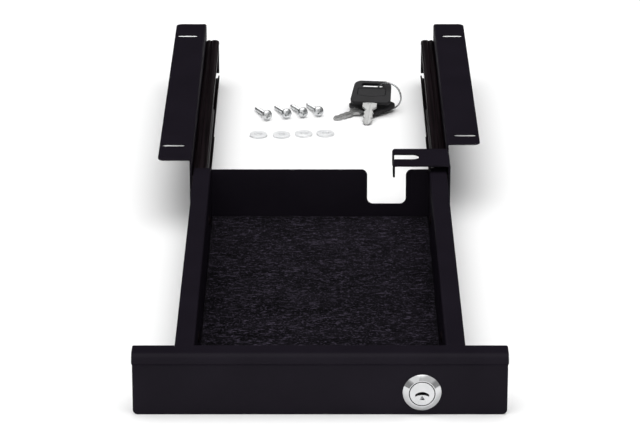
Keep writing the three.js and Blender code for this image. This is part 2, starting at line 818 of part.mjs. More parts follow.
// The cam rests pointing left, in the tray, and turns up to lock.
function lockCam() {
  const hub = disc(camHubRadius);
  const arm = rounded([
    [-camLength, -camHalfWidth, camHalfWidth / 2],
    [0, -camHalfWidth],
    [0, camHalfWidth],
    [-camLength, camHalfWidth, camHalfWidth / 2],
  ]);
  const y0 = camMidY - camThickness / 2;
  const y1 = camMidY + camThickness / 2;
  const hole = plugSquare + seatGap;
  return atLock(cut(join(alongY(hub, y0, y1), alongY(arm, y0, y1)),
    alongY(rectangle(-hole, -hole, hole, hole), y0 - overrun, y1 + overrun)));
}

function camScrew() {
  const headFront = camMidY + camThickness / 2 + seatGap;
  return atLock(turned([
    [0, headFront - camScrewDepth],
    [camScrewShank, headFront - camScrewDepth],
    [camScrewShank, headFront],
    [camScrewRadius, headFront],
    [camScrewRadius, headFront + camScrewHead * 0.6],
    [camScrewRadius * 0.7, headFront + camScrewHead],
    [0, headFront + camScrewHead],
  ], turnSteps / 2));
}

place(drawerSafe, "tray", tray(), coated());
place(drawerSafe, "felt_mat", feltMat(), feltCloth());
place(drawerSafe, "front_panel", frontPanel(), coated());
place(drawerSafe, "lock_housing", lockHousing(), chrome());
place(drawerSafe, "lock_nut", lockNut(), chrome());
place(drawerSafe, "lock_plug", lockPlug(), chrome());
place(drawerSafe, "lock_cam", lockCam(), bareSteel());
place(drawerSafe, "cam_screw", camScrew(), bareSteel());

// Mounting screws and nylon washers, loose on the floor behind the tray

function woodScrew() {
  return turned([
    [0, -screwHeadHeight],
    [screwHeadRadius * 0.55, -screwHeadHeight],
    [screwHeadRadius * 0.9, -screwHeadHeight * 0.6],
    [screwHeadRadius, 0],
    [screwShankRadius, 0],
    [screwShankRadius, screwLength - screwPoint],
    [0, screwLength],
  ], turnSteps / 2);
}

function nylonWasher() {
  return cut(turned([
    [0, 0],
    [washerRadius, 0],
    [washerRadius, washerThickness - washerChamfer],
    [washerRadius - washerChamfer, washerThickness],
    [0, washerThickness],
  ]), alongY(disc(washerHoleRadius), -overrun, washerThickness + overrun)).rotate([90, 0, 0]);
}

screwPlaces.forEach(([x, y], i) => {
  const drop = Math.atan2(screwHeadRadius - screwShankRadius, screwLength - screwPoint);
  const lying = new THREE.Group();
  lying.position.set(x, y, screwHeadRadius * Math.cos(drop) + floorGap);
  lying.rotation.set(-drop, 0, screwHeading, "ZXY");
  drawerSafe.add(lying);
  place(lying, `mounting_screw_${i + 1}`, woodScrew(), zincSteel());
});

washerPlaces.forEach(([x, y], i) => {
  const washer = place(drawerSafe, `nylon_washer_${i + 1}`, nylonWasher(), nylon());
  washer.position.set(x, y, floorGap);
});

// Two keys on a ring. A key is drawn with its bow round the origin and its blade towards -Y.

function keyBow() {
  const front = -bowLength / 2;
  const rear = bowLength / 2;
  const outline = rounded([
    [-bowFrontWidth / 2, front, bowFrontCorner],
    [bowFrontWidth / 2, front, bowFrontCorner],
    [bowRearWidth / 2, rear, bowRearCorner],
    [-bowRearWidth / 2, rear, bowRearCorner],
  ]);
  const ringSlot = alongZ(slot(0, bowSlotY, bowSlotWidth, bowSlotHeight), -overrun, bowThickness + overrun);
  const panelRear = bowSlotY - bowSlotHeight / 2 - bowPanelInset;
  const panelFront = panelRear - bowPanelHeight;
  const panel = alongZ(rounded([
    [-bowPanelWidth / 2, panelRear],
    [-bowPanelWidth / 2, panelFront],
    [0, panelFront - bowPanelBulge, bowPanelWidth],
    [bowPanelWidth / 2, panelFront],
    [bowPanelWidth / 2, panelRear],
  ]), bowThickness - bowPanelDepth, bowThickness + overrun);
  const pocketHalf = bladeWidth / 2 + seatGap;
  const middle = bowThickness / 2;
  const pocket = block(-pocketHalf, front - overrun, middle - bladeThickness / 2 - seatGap,
    pocketHalf, front + bladeTang + seatGap, middle + bladeThickness / 2 + seatGap);
  return cut(alongZ(outline, 0, bowThickness), ringSlot, panel, pocket);
}

function keyBlade() {
  const root = -bowLength / 2;
  const half = bladeWidth / 2;
  const shoulder = bladeShoulderWidth / 2;
  const shoulderFront = root - bladeShoulderLength;
  const cutsRear = shoulderFront - (shoulder - half);
  const tipRear = root - bladeLength + bladeTip;
  const step = (cutsRear - tipRear) / bladeCuts;
  const edge = [];
  for (let i = 0; i < bladeCuts; i += 1) {
    edge.push([half, cutsRear - i * step]);
    edge.push([half - bladeCutDepth * (i % 2 ? 0.6 : 1), cutsRear - (i + 0.5) * step]);
  }
  const right = [
    [half, root + bladeTang],
    [half, root - seatGap],
    [shoulder, root - seatGap],
    [shoulder, shoulderFront],
    ...edge,
    [half, tipRear],
    [half / 3, root - bladeLength],
  ];
  const left = right.map(([x, y]) => [-x, y]).reverse();
  const middle = bowThickness / 2;
  return alongZ(polygon([...right, ...left]), middle - bladeThickness / 2, middle + bladeThickness / 2);
}

function keyRing() {
  return solid(new THREE.TorusGeometry(ringRadius, ringWireRadius, ringSides, ringSteps).rotateX(Math.PI / 2));
}

const ring = place(drawerSafe, "key_ring", keyRing(), bareSteel());
ring.position.set(ringPlace[0], ringPlace[1],
  ringRadius * Math.cos(ringTilt) + ringWireRadius + floorGap);
ring.rotation.set(ringTilt, 0, ringHeading, "ZXY");
ring.updateMatrix();

// A key stands with its tip on the floor and its slot round the ring.
function standingKey(heading, crossing, slotShift) {
  const through = new THREE.Vector3(ringRadius * Math.cos(crossing), 0, ringRadius * Math.sin(crossing))
    .applyMatrix4(ring.matrix);
  const reach = bowSlotY + bowLength / 2 + bladeLength;
  const slope = Math.asin((through.z - floorGap - bladeThickness / 2) / reach);
  const key = new THREE.Group();
  key.rotation.set(slope, 0, heading, "ZXY");
  const slotPoint = new THREE.Vector3(slotShift, bowSlotY, bowThickness / 2);
  key.position.copy(through).sub(slotPoint.applyEuler(key.rotation));
  return key;
}

const keys = [
  ["lower", lowerHeading, lowerCrossing, lowerSlotShift],
  ["upper", upperHeading, upperCrossing, upperSlotShift],
];
for (const [name, heading, crossing, slotShift] of keys) {
  const key = standingKey(heading, crossing, slotShift);
  drawerSafe.add(key);
  place(key, `${name}_key_bow`, keyBow(), keyPlastic());
  place(key, `${name}_key_blade`, keyBlade(), bareSteel());
}

export default drawerSafe;
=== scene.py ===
# %% [markdown]
# # A drawer safe for the underside of a desk
#
# The real object is folded steel with a black powder coat: a shallow felt lined tray on two
# ball bearing slides, which hang from two screw-on brackets. A chrome cam lock sits in the front.
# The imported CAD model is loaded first. It says where everything is and what moves, and every
# finer piece below is built into the same place, in millimetres, and rides on the same bodies.

import math

import bmesh
import bpy
from mathutils import Matrix, Vector


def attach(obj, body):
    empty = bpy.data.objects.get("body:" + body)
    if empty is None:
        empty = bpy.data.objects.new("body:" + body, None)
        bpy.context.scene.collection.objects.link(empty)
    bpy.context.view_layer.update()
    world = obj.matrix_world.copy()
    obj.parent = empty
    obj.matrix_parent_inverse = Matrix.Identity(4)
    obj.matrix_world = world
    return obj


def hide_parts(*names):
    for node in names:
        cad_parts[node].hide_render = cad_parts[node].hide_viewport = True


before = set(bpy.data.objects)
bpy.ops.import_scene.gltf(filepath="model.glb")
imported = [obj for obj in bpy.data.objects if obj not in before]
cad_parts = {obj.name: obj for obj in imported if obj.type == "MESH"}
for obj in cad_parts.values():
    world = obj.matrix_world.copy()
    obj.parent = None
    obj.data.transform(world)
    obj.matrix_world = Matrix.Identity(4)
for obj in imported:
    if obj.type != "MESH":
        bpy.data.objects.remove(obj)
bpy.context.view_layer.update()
MM = 0.001


# %% A new object
def show(name, data):
    """An object with this data, in the scene."""
    made = bpy.data.objects.new(name, data)
    bpy.context.scene.collection.objects.link(made)
    return made


# %% [markdown]
# Light, finishes and the pieces that repeat are all made with nodes, so their helpers come
# first. A tree is filled in two steps: its nodes with their values, then one list of links.

# %% Node helpers
SOCKETS = {float: "NodeSocketFloat", int: "NodeSocketInt", type(None): "NodeSocketGeometry"}


def fill(node, values):
    """Set a node's sockets by name."""
    for name, value in values.items():
        node.inputs[name.replace("_", " ")].default_value = value
    return node


def add(tree, kind, **values):
    return fill(tree.nodes.new(kind), values)


def join(tree, *links):
    """Link sockets. Each link is a node and its output, then a node and its input."""
    for start, output, end, label in links:
        tree.links.new(start.outputs[output], end.inputs[label])


def new_group(name, kind, inputs, outputs):
    """A node group with named sockets, and its two end nodes. Each socket suits its value."""
    group = bpy.data.node_groups.new(name, kind)
    for way, sockets in (("INPUT", inputs), ("OUTPUT", outputs)):
        for label, value in sockets.items():
            socket = group.interface.new_socket(label, in_out=way,
                                                socket_type=SOCKETS[type(value)])
            if value is not None:
                socket.default_value = value
    return group, group.nodes.new("NodeGroupInput"), group.nodes.new("NodeGroupOutput")


def place_group(tree, group, **values):
    node = add(tree, "ShaderNodeGroup")
    node.node_tree = group
    return fill(node, values)


# %% [markdown]
# ## Camera
#
# The photograph is taken from far in front with a long lens, looking down at about twenty
# degrees. The tray's edges run to one vanishing point, and that gives the height, the tilt and
# the lens. A camera is set once here, and nothing below looks at it.

# %% Camera
CAMERA_PLACE = Vector((0, -2.2773, 0.8484))
CAMERA_TILT = math.radians(90 - 20.3)
CAMERA_LENS = 183.15

camera_data = bpy.data.cameras.new("camera")
camera_data.lens = CAMERA_LENS
camera_data.sensor_width = 36
camera_data.clip_end = 50
camera = show("camera", camera_data)
camera.location = CAMERA_PLACE
camera.rotation_euler = (CAMERA_TILT, 0, 0)
bpy.context.scene.camera = camera
bpy.context.scene.view_settings.view_transform = "Standard"
print("camera height above the floor in mm:", round(CAMERA_PLACE.z / MM))

# %% [markdown]
# ## Studio light
#
# Black steel shows mostly what it reflects. The flat tops mirror the low sky behind the drawer,
# and in the photograph they stay as dark as the front. So the sky is bright overhead and low in
# front, and dark low behind. One wide lamp from the upper left gives the folds a lit side.

# %% Sky
SKY_TOP = 3.5
SKY_MIDDLE = 0.85
SKY_FRONT = 2.4
SKY_SIDE = 0.4
SKY_BACK = 0.14

world = bpy.data.worlds.new("studio")
bpy.context.scene.world = world
world.use_nodes = True
sky = world.node_tree
sky.nodes.clear()
sky_out = add(sky, "ShaderNodeOutputWorld")
sky_light = add(sky, "ShaderNodeBackground")
sky_way = add(sky, "ShaderNodeTexCoord")
sky_split = add(sky, "ShaderNodeSeparateXYZ")
join(sky, (sky_way, "Generated", sky_split, 0))


def sky_range(axis, start, end, low, high):
    """A value that goes from low to high as the direction's axis goes from start to end."""
    node = add(sky, "ShaderNodeMapRange", From_Min=start, From_Max=end)
    node.interpolation_type = "SMOOTHSTEP"
    join(sky, (sky_split, axis, node, "Value"))
    for label, value in (("To Min", low), ("To Max", high)):
        if isinstance(value, (int, float)):
            node.inputs[label].default_value = value
        else:
            join(sky, (value, "Result", node, label))
    return node


# Y and Z are parts of a direction of length 1. Y is -1 straight ahead of the drawer's front.
low_front = sky_range("Y", -0.95, -0.65, SKY_FRONT, SKY_SIDE)
low_sky = sky_range("Y", -0.3, 0.4, low_front, SKY_BACK)
middle_sky = sky_range("Y", -0.4, 0.3, SKY_MIDDLE, SKY_BACK)
half_sky = sky_range("Z", 0.3, 0.5, low_sky, middle_sky)
full_sky = sky_range("Z", 0.74, 0.92, half_sky, SKY_TOP)
join(sky, (full_sky, "Result", sky_light, "Strength"), (sky_light, 0, sky_out, "Surface"))
print("sky strength overhead and behind:", SKY_TOP, SKY_BACK)

# %% Lamp
LAMP_POWER = 5
LAMP_SIZE = 2.2
LAMP_PLACE = Vector((-1.3, -1.6, 2.2))
TRAY_MIDDLE = Vector((0, -0.1, 0.02))

lamp_data = bpy.data.lights.new("key_lamp", "AREA")
lamp_data.energy = LAMP_POWER
lamp_data.size = LAMP_SIZE
lamp = show("key_lamp", lamp_data)
lamp.location = LAMP_PLACE
lamp.rotation_euler = (TRAY_MIDDLE - LAMP_PLACE).to_track_quat("-Z", "Y").to_euler()
print("lamp distance in m:", round((TRAY_MIDDLE - LAMP_PLACE).length, 2))

# %% [markdown]
# ## Finishes
#
# Two effects are shared by several finishes, so each is a node group with named inputs: the fine
# orange peel of powder coat and moulded plastic, and the drawn out lines that rolling leaves on
# a rail, which also make the hairs of the felt. The groups only put out a height and a tone.
# Each finish places one with its own values, and keeps its own shader.

# %% Orange peel: the small bumps of powder coat and moulded plastic
peel, peel_in, peel_out = new_group(
    "orange_peel", "ShaderNodeTree", {"Grain Scale": 1400.0, "Cloud Scale": 25.0},
    {"Height": 0.0, "Tone": 0.0})
peel_place = add(peel, "ShaderNodeTexCoord")
for scale, detail, rough, result in (("Grain Scale", 3.0, 0.6, "Height"),
                                     ("Cloud Scale", 4.0, 0.55, "Tone")):
    noise = add(peel, "ShaderNodeTexNoise", Detail=detail, Roughness=rough)
    join(peel, (peel_place, "Object", noise, "Vector"), (peel_in, scale, noise, "Scale"),
         (noise, "Fac", peel_out, result))

# %% Drawn lines: noise with a factor for each axis. A small one stretches it that way
drawn, drawn_in, drawn_out = new_group(
    "drawn_lines", "ShaderNodeTree",
    {"Across X": 1.0, "Across Y": 1.0, "Across Z": 1.0, "Scale": 900.0},
    {"Height": 0.0, "Tone": 0.0})
drawn_place = add(drawn, "ShaderNodeTexCoord")
drawn_across = add(drawn, "ShaderNodeCombineXYZ")
drawn_squeeze = add(drawn, "ShaderNodeVectorMath")
drawn_squeeze.operation = "MULTIPLY"
drawn_noise = add(drawn, "ShaderNodeTexNoise", Detail=4.0, Roughness=0.65)
join(drawn, *[(drawn_in, f"Across {axis}", drawn_across, axis) for axis in "XYZ"],
     (drawn_place, "Object", drawn_squeeze, 0), (drawn_across, 0, drawn_squeeze, 1),
     (drawn_squeeze, 0, drawn_noise, "Vector"), (drawn_in, "Scale", drawn_noise, "Scale"),
     (drawn_noise, "Fac", drawn_out, "Height"), (drawn_noise, "Fac", drawn_out, "Tone"))
print("shared effects:", [group.name for group in bpy.data.node_groups])


# %% A finish: two tones, two roughnesses, and a bump, all steered by one group
GLANCE = (0.2, 0.62)
TONE_RANGE = (0.35, 0.65)


def new_material(name):
    """A material, its node tree and its shader."""
    material = bpy.data.materials.new(name)
    material.use_nodes = True
    return material, material.node_tree, material.node_tree.nodes["Principled BSDF"]


def two_tones(tree, dark, light):
    mix = add(tree, "ShaderNodeMix")
    mix.data_type = "RGBA"
    return fill(mix, {"A": (*dark, 1), "B": (*light, 1)})


def finish(name, dark, light, rough, group, height, metallic=0.0, face_gloss=None, **settings):
    """A Principled material. dark and light are linear colours, and rough is a pair.

    face_gloss is the weight of a thin clear coat as seen from straight above. It fades out
    towards a glancing angle, where a fine powder coat scatters light and looks matt.
    """
    material, tree, shader = new_material(name)
    fill(shader, {"Metallic": metallic, **settings})
    if face_gloss is not None:
        glance = add(tree, "ShaderNodeLayerWeight", Blend=0.5)
        gloss = add(tree, "ShaderNodeMapRange", From_Min=GLANCE[0], From_Max=GLANCE[1],
                    To_Min=face_gloss, To_Max=0.0)
        join(tree, (glance, "Facing", gloss, "Value"), (gloss, "Result", shader, "Coat Weight"))
    pattern = place_group(tree, group[0], **group[1])
    tone = add(tree, "ShaderNodeMapRange", From_Min=TONE_RANGE[0], From_Max=TONE_RANGE[1])
    mix = two_tones(tree, dark, light)
    roughness = add(tree, "ShaderNodeMapRange", To_Min=rough[0], To_Max=rough[1])
    bump = add(tree, "ShaderNodeBump", Strength=1.0, Distance=height * MM)
    join(tree, (pattern, "Tone", tone, "Value"), (tone, "Result", mix, "Factor"),
         (mix, "Result", shader, "Base Color"), (tone, "Result", roughness, "Value"),
         (roughness, "Result", shader, "Roughness"), (pattern, "Height", bump, "Height"),
         (bump, "Normal", shader, "Normal"))
    return material


# %% The finishes of this object
ALONG_SLIDE = {"Across X": 1.0, "Across Y": 0.012, "Across Z": 1.0, "Scale": 700}
ROUND_LATHE = {"Across X": 1.0, "Across Y": 1.0, "Across Z": 1.0, "Scale": 700}
POWDER = {"Grain Scale": 1500, "Cloud Scale": 22}
MOULDED = {"Grain Scale": 2600, "Cloud Scale": 90}

powder_coat = finish("powder_coat", (0.0079, 0.0063, 0.0099), (0.0098, 0.0079, 0.0122),
                     (0.46, 0.56), (peel, POWDER), 0.012, face_gloss=0.09, Coat_Roughness=0.5,
                     Specular_IOR_Level=0.008)
rail_black = finish("rail_black", (0.0010, 0.0004, 0.0007), (0.0110, 0.0073, 0.0088), (0.3, 0.42),
                    (drawn, ALONG_SLIDE), 0.006, face_gloss=0.22, Coat_Roughness=0.35,
                    Specular_IOR_Level=0.01)
bright_steel = finish("bright_steel", (0.38, 0.385, 0.39), (0.50, 0.505, 0.51), (0.2, 0.32),
                      (drawn, ROUND_LATHE), 0.002, metallic=1.0)
chrome_plate = finish("chrome_plate", (0.62, 0.625, 0.635), (0.70, 0.705, 0.715), (0.07, 0.12),
                      (peel, MOULDED), 0.0004, metallic=1.0)
key_steel = finish("key_steel", (0.36, 0.36, 0.356), (0.50, 0.50, 0.495), (0.52, 0.62),
                   (peel, MOULDED), 0.003, metallic=1.0)
zinc_plate = finish("zinc_plate", (0.52, 0.53, 0.54), (0.70, 0.71, 0.71), (0.25, 0.4),
                    (peel, MOULDED), 0.002, metallic=1.0)
key_plastic = finish("key_plastic", (0.013, 0.0127, 0.0137), (0.020, 0.0194, 0.021), (0.4, 0.5),
                     (peel, MOULDED), 0.008, Specular_IOR_Level=0.15)
black_rubber = finish("black_rubber", (0.006, 0.0055, 0.006), (0.011, 0.010, 0.011),
                      (0.7, 0.85), (peel, MOULDED), 0.01, Specular_IOR_Level=0.25)
milky_nylon = finish("milky_nylon", (0.76, 0.77, 0.78), (0.84, 0.845, 0.85), (0.3, 0.42),
                     (peel, MOULDED), 0.003, Subsurface_Weight=0.5,
                     Subsurface_Radius=(0.002, 0.002, 0.002))
print("finishes:", len(bpy.data.materials))

# %% [markdown]
# Felt has no gloss. Its colour comes from matted fibres of several greys, and the mat in the
# photograph is mottled with short pale flecks that lie mostly from side to side. Two fine noises
# are stretched that way. Where both are high the cloth is pale, and a broader one makes the
# flecks gather in clouds. Real loose fibres are scattered over the mat further down.

# %% Felt
# Each row: the noise's factors along X and Y, its scale, the range that shows, and its share
# of the pale tone. The first one also makes the bumps.
FLECKS = ((0.5, 1.1, 430, 0.54, 0.67, 0.62),
          (1.3, 1.0, 480, 0.55, 0.67, 0.60),
          (0.4, 1.0, 70, 0.35, 0.65, 0.09))


def felt_material(name, dark, light):
    material, tree, shader = new_material(name)
    fill(shader, {"Roughness": 0.95, "Specular IOR Level": 0.02,
                  "Sheen Weight": 0.02, "Sheen Roughness": 0.5})
    mix = two_tones(tree, dark, light)
    bump = add(tree, "ShaderNodeBump", Strength=1.0, Distance=0.3 * MM)
    total = None
    for across_x, across_y, scale, low, high, share in FLECKS:
        hairs = place_group(tree, drawn, Across_X=across_x, Across_Y=across_y, Scale=scale)
        tone = add(tree, "ShaderNodeMapRange", From_Min=low, From_Max=high, To_Max=share)
        join(tree, (hairs, "Tone", tone, "Value"))
        if total is None:
            join(tree, (hairs, "Height", bump, "Height"))
            total = tone
        else:
            plus = add(tree, "ShaderNodeMath")
            join(tree, (total, 0, plus, 0), (tone, 0, plus, 1))
            total = plus
    join(tree, (total, 0, mix, "Factor"), (mix, "Result", shader, "Base Color"),
         (bump, "Normal", shader, "Normal"))
    return material


felt_cloth = felt_material("felt_cloth", (0.0004, 0.0003, 0.0008), (0.053, 0.044, 0.065))
felt_fibre = felt_material("felt_fibre", (0.0025, 0.0019, 0.0034), (0.036, 0.030, 0.045))
print("noises in the felt:", len(FLECKS))

# %% [markdown]
# ## Mesh helpers
#
# Most of the object is bent sheet, so the main helper takes the middle line of a bent section,
# with a radius at each bend, and gives it a thickness. Others pull an outline along an axis,
# turn a profile round the lock's axis, cut one piece with others, and take the sharpness off
# the edges. Real powder coated sheet never has a knife edge, and a fine bevel catches the light.

# %% Outlines
def bend_points(before, corner, after, steps):
    """The points that round one corner (x, y, radius) between its neighbours."""
    radius = corner[2] if len(corner) > 2 else 0
    at = Vector(corner[:2])
    if not radius:
        return [at]
    back = (Vector(before[:2]) - at).normalized()
    ahead = (Vector(after[:2]) - at).normalized()
    half = back.angle(ahead) / 2
    centre = at + (back + ahead).normalized() * (radius / math.sin(half))
    start = at + back * (radius / math.tan(half)) - centre
    side = back.x * start.y - back.y * start.x
    turn = math.copysign(math.pi - 2 * half, side)
    points = []
    for i in range(steps + 1):
        angle = turn * i / steps
        c, s = math.cos(angle), math.sin(angle)
        points.append(centre + Vector((start.x * c - start.y * s, start.x * s + start.y * c)))
    return points


def rounded(corners, steps=8):
    """A closed outline with its corners rounded."""
    count = len(corners)
    points = []
    for i, corner in enumerate(corners):
        for point in bend_points(corners[i - 1], corner, corners[(i + 1) % count], steps):
            if not points or (point - points[-1]).length > 1e-4:
                points.append(point)
    if (points[0] - points[-1]).length < 1e-4:
        points.pop()
    return points


def rectangle(x0, y0, x1, y1, radius=0, steps=8):
    return rounded([(x0, y0, radius), (x1, y0, radius), (x1, y1, radius), (x0, y1, radius)], steps)


def slot_outline(x, y, length, width):
    return rectangle(x - length / 2, y - width / 2, x + length / 2, y + width / 2, width / 2)


def both_sides(half):
    """Corners of the right half, foot first, with those of the left half before them."""
    return [(-x, *rest) for x, *rest in half[::-1]] + half


def circle(radius, steps=48, x=0, y=0):
    turns = [2 * math.pi * i / steps for i in range(steps)]
    return [Vector((x + radius * math.cos(a), y + radius * math.sin(a))) for a in turns]


def bent_sheet(line, sheet, steps=8):
    """The outline of a bent section: its middle line (x, y, bend radius) given a thickness."""
    last = len(line) - 1
    path = []
    for i, corner in enumerate(line):
        if i in (0, last):
            path.append(Vector(corner[:2]))
        else:
            path += bend_points(line[i - 1], corner, line[i + 1], steps)
    ways = [(b - a).normalized() for a, b in zip(path, path[1:])]
    left, right = [], []
    for i, point in enumerate(path):
        behind, ahead = ways[max(i - 1, 0)], ways[min(i, len(ways) - 1)]
        along = (behind + ahead).normalized()
        reach = sheet / 2 / max(along.dot(ahead), 0.5)
        across = Vector((-along.y, along.x)) * reach
        left.append(point + across)
        right.append(point - across)
    return left + right[::-1]


# %% Pieces from outlines
def add_mesh(name, corners, faces):
    """A mesh object from corners in millimetres, with its faces turned outwards."""
    mesh = bpy.data.meshes.new(name)
    mesh.from_pydata([tuple(c * MM for c in corner) for corner in corners], [], faces)
    shell = bmesh.new()
    shell.from_mesh(mesh)
    bmesh.ops.remove_doubles(shell, verts=shell.verts, dist=1e-7)
    bmesh.ops.recalc_face_normals(shell, faces=shell.faces)
    shell.to_mesh(mesh)
    shell.free()
    return show(name, mesh)


def keep(name, shell):
    """A mesh object from a bmesh, which is freed."""
    mesh = bpy.data.meshes.new(name)
    shell.to_mesh(mesh)
    shell.free()
    return show(name, mesh)


def skin(name, rings, loop=False, caps=False):
    """Faces from each ring of corners to the next. A ring of one corner is a tip."""
    corners, numbers = [], []
    for ring in rings:
        numbers.append(range(len(corners), len(corners) + len(ring)))
        corners += ring
    faces = [tuple(numbers[0])[::-1], tuple(numbers[-1])] if caps else []
    for a, b in zip(numbers, numbers[1:] + numbers[:1] if loop else numbers[1:]):
        steps = max(len(a), len(b))
        for i in range(steps):
            j = (i + 1) % steps
            face = (a[i % len(a)], a[j % len(a)], b[j % len(b)], b[i % len(b)])
            if len(set(face)) > 2:
                faces.append(tuple(dict.fromkeys(face)))
    return add_mesh(name, corners, faces)


def pull(name, outline, axis, low, high):
    """An outline pulled along an axis. It lies in the other two, in X, Y, Z order."""
    rings = [[list(point[:2]) for point in outline] for _ in range(2)]
    for ring, level in zip(rings, (low, high)):
        for corner in ring:
            corner.insert("XYZ".index(axis), level)
    return skin(name, rings, caps=True)


def turn_on_lathe(name, profile, steps=96):
    """A piece turned round the Y axis, from (radius, y). It closes on the axis or on itself."""
    turns = [2 * math.pi * i / steps for i in range(steps)]
    rings = [[(radius * math.cos(a), y, radius * math.sin(a)) for a in turns] if radius
             else [(0, y, 0)] for radius, y in profile]
    return skin(name, rings, loop=len(rings[0]) > 1)


# %% Changing pieces
def settle(piece):
    """Replace the piece's mesh by what its modifiers make of it."""
    graph = bpy.context.evaluated_depsgraph_get()
    made = bpy.data.meshes.new_from_object(piece.evaluated_get(graph))
    old = piece.data
    piece.modifiers.clear()
    piece.data = made
    bpy.data.meshes.remove(old)
    return piece


def modify(piece, kind, **settings):
    """A new modifier of this kind, with these settings."""
    step = piece.modifiers.new(kind.lower(), kind)
    for name, value in settings.items():
        setattr(step, name, value)
    return step


def combine(piece, *others, operation="DIFFERENCE"):
    """Cut the others from the piece, or join or keep what they share, and delete them."""
    for other in others:
        modify(piece, "BOOLEAN", operation=operation, solver="EXACT", object=other)
    settle(piece)
    for other in others:
        bpy.data.objects.remove(other)
    return piece


def soften(piece, width=0.18, segments=2, angle=32, flats=True):
    """A fine bevel on the sharp edges, then smooth shading between them."""
    modify(piece, "BEVEL", width=width * MM, segments=segments, limit_method="ANGLE",
           angle_limit=math.radians(angle), use_clamp_overlap=False)
    return smooth(settle(piece), angle, flats)


def smooth(piece, angle=32, flats=False):
    """Smooth shading up to the angle. With flats, wide faces keep the normals of their plane."""
    mesh = piece.data
    mesh.shade_smooth()
    mesh.set_sharp_from_angle(angle=math.radians(angle))
    for face in mesh.polygons if flats else ():
        points = [mesh.vertices[i].co for i in face.vertices]
        around = sum((a - b).length for a, b in zip(points, points[1:] + points[:1]))
        if face.area > 0.6 * MM * around:
            face.use_smooth = False
    return piece


def move(piece, x=0, y=0, z=0):
    piece.data.transform(Matrix.Translation((x * MM, y * MM, z * MM)))
    return piece


def mirror(piece):
    """Swap left and right, and turn the faces outwards again."""
    piece.data.transform(Matrix.Scale(-1, 4, (1, 0, 0)))
    piece.data.flip_normals()
    return piece


def on_side(piece, side):
    """Pieces that come in pairs are drawn on the right, and the left one is mirrored."""
    return mirror(piece) if side == "left" else piece


FULL_HEIGHT = (-5, 60)


def trim(piece, plan):
    """Keep what lies inside an outline seen from above."""
    return combine(piece, pull("plan", plan, "Z", *FULL_HEIGHT), operation="INTERSECT")


def dress(piece, material, body, *nodes):
    """Give a finished piece its material, its body and the CAD nodes it stands for."""
    piece.data.materials.clear()
    piece.data.materials.append(material)
    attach(piece, body)
    if nodes:
        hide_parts(*nodes)
    return piece


def fuse(name, pieces):
    """Several finished meshes as one object."""
    shell = bmesh.new()
    for piece in pieces:
        shell.from_mesh(piece.data)
    for piece in pieces:
        bpy.data.objects.remove(piece)
    return keep(name, shell)


# %% [markdown]
# ## Brackets
#
# Each bracket is one strip of 1.5 mm steel folded to an angle. Its upright wall carries a slide,
# and its flange is screwed to the desk through two slots. The right one starts further forward:
# there the sheet is folded inwards instead, lower down, and forms the slotted catch for the
# lock's cam. The section is pulled along the bracket, and corners and slots are cut afterwards,
# in the order in which a press would do it.

# %% Bracket sizes
DESK_TOP = 52
BRACKET_SHEET = 1.5
WALL_IN = 95.4
WALL_OUT = WALL_IN + BRACKET_SHEET
WALL_X = WALL_IN + BRACKET_SHEET / 2
FLANGE_EDGE = 120.5
FLANGE_CORNER = 5
BRACKET_FRONT = 5
BRACKET_REAR = 350
RIGHT_FLANGE_FRONT = 41
SCREW_SLOT_X = 109.9
SCREW_SLOT_SIZE = (17.6, 6.6)
LEFT_SCREW_SLOTS = (37.4, 317)
RIGHT_SCREW_SLOTS = (60.8, 317)


def angle_bracket(name, front):
    """The wall and the flange from front to rear, with rounded flange corners."""
    flange_z = DESK_TOP - BRACKET_SHEET / 2
    line = [(WALL_X, 0), (WALL_X, flange_z, 1.2), (FLANGE_EDGE, flange_z)]
    piece = pull(name, bent_sheet(line, BRACKET_SHEET), "Y", front, BRACKET_REAR)
    plan = rounded([(90, front), (FLANGE_EDGE, front, FLANGE_CORNER),
                    (FLANGE_EDGE, BRACKET_REAR, FLANGE_CORNER), (90, BRACKET_REAR)])
    return trim(piece, plan)


def cut_screw_slots(piece, places):
    outlines = [slot_outline(SCREW_SLOT_X, y, *SCREW_SLOT_SIZE) for y in places]
    return combine(piece, *[pull("screw_slot", outline, "Z", 40, 60) for outline in outlines])


# %% Left bracket
left_bracket = angle_bracket("left_bracket_sheet", BRACKET_FRONT)
soften(mirror(cut_screw_slots(left_bracket, LEFT_SCREW_SLOTS)))
dress(left_bracket, powder_coat, "brackets", "left_bracket")
print("left bracket faces:", len(left_bracket.data.polygons))

# %% Right bracket with its catch
CATCH_Y = (3, 40)
CATCH_TOP = 48
CATCH_INNER = 54.2
CATCH_FOOT = 38.2
CATCH_SLOT_Y = (16.3, 29.3)
CATCH_SLOT_END = 73.9
CATCH_SLOT_CORNER = 4.8
BEYOND_CATCH = 45
NECK_Y = (30, 44)
NECK_TOP = 45.5


def catch_sheet():
    """The plate bent inwards, with its turned down end and a slot that is open on that side."""
    plate_z = CATCH_TOP - BRACKET_SHEET / 2
    tab_x = CATCH_INNER + BRACKET_SHEET / 2
    line = [(WALL_X, 0), (WALL_X, plate_z, 1.2), (tab_x, plate_z, 1.2), (tab_x, CATCH_FOOT)]
    piece = pull("catch_sheet", bent_sheet(line, BRACKET_SHEET), "Y", *CATCH_Y)
    front, rear = CATCH_Y
    trim(piece, rounded([(CATCH_INNER, front), (WALL_OUT, front), (WALL_OUT, rear),
                         (CATCH_INNER, rear, 2.5)]))
    low, high = CATCH_SLOT_Y
    mouth = rounded([(BEYOND_CATCH, low), (CATCH_SLOT_END, low, CATCH_SLOT_CORNER),
                     (CATCH_SLOT_END, high, CATCH_SLOT_CORNER), (BEYOND_CATCH, high)])
    return combine(piece, pull("catch_slot", mouth, "Z", 30, 60))


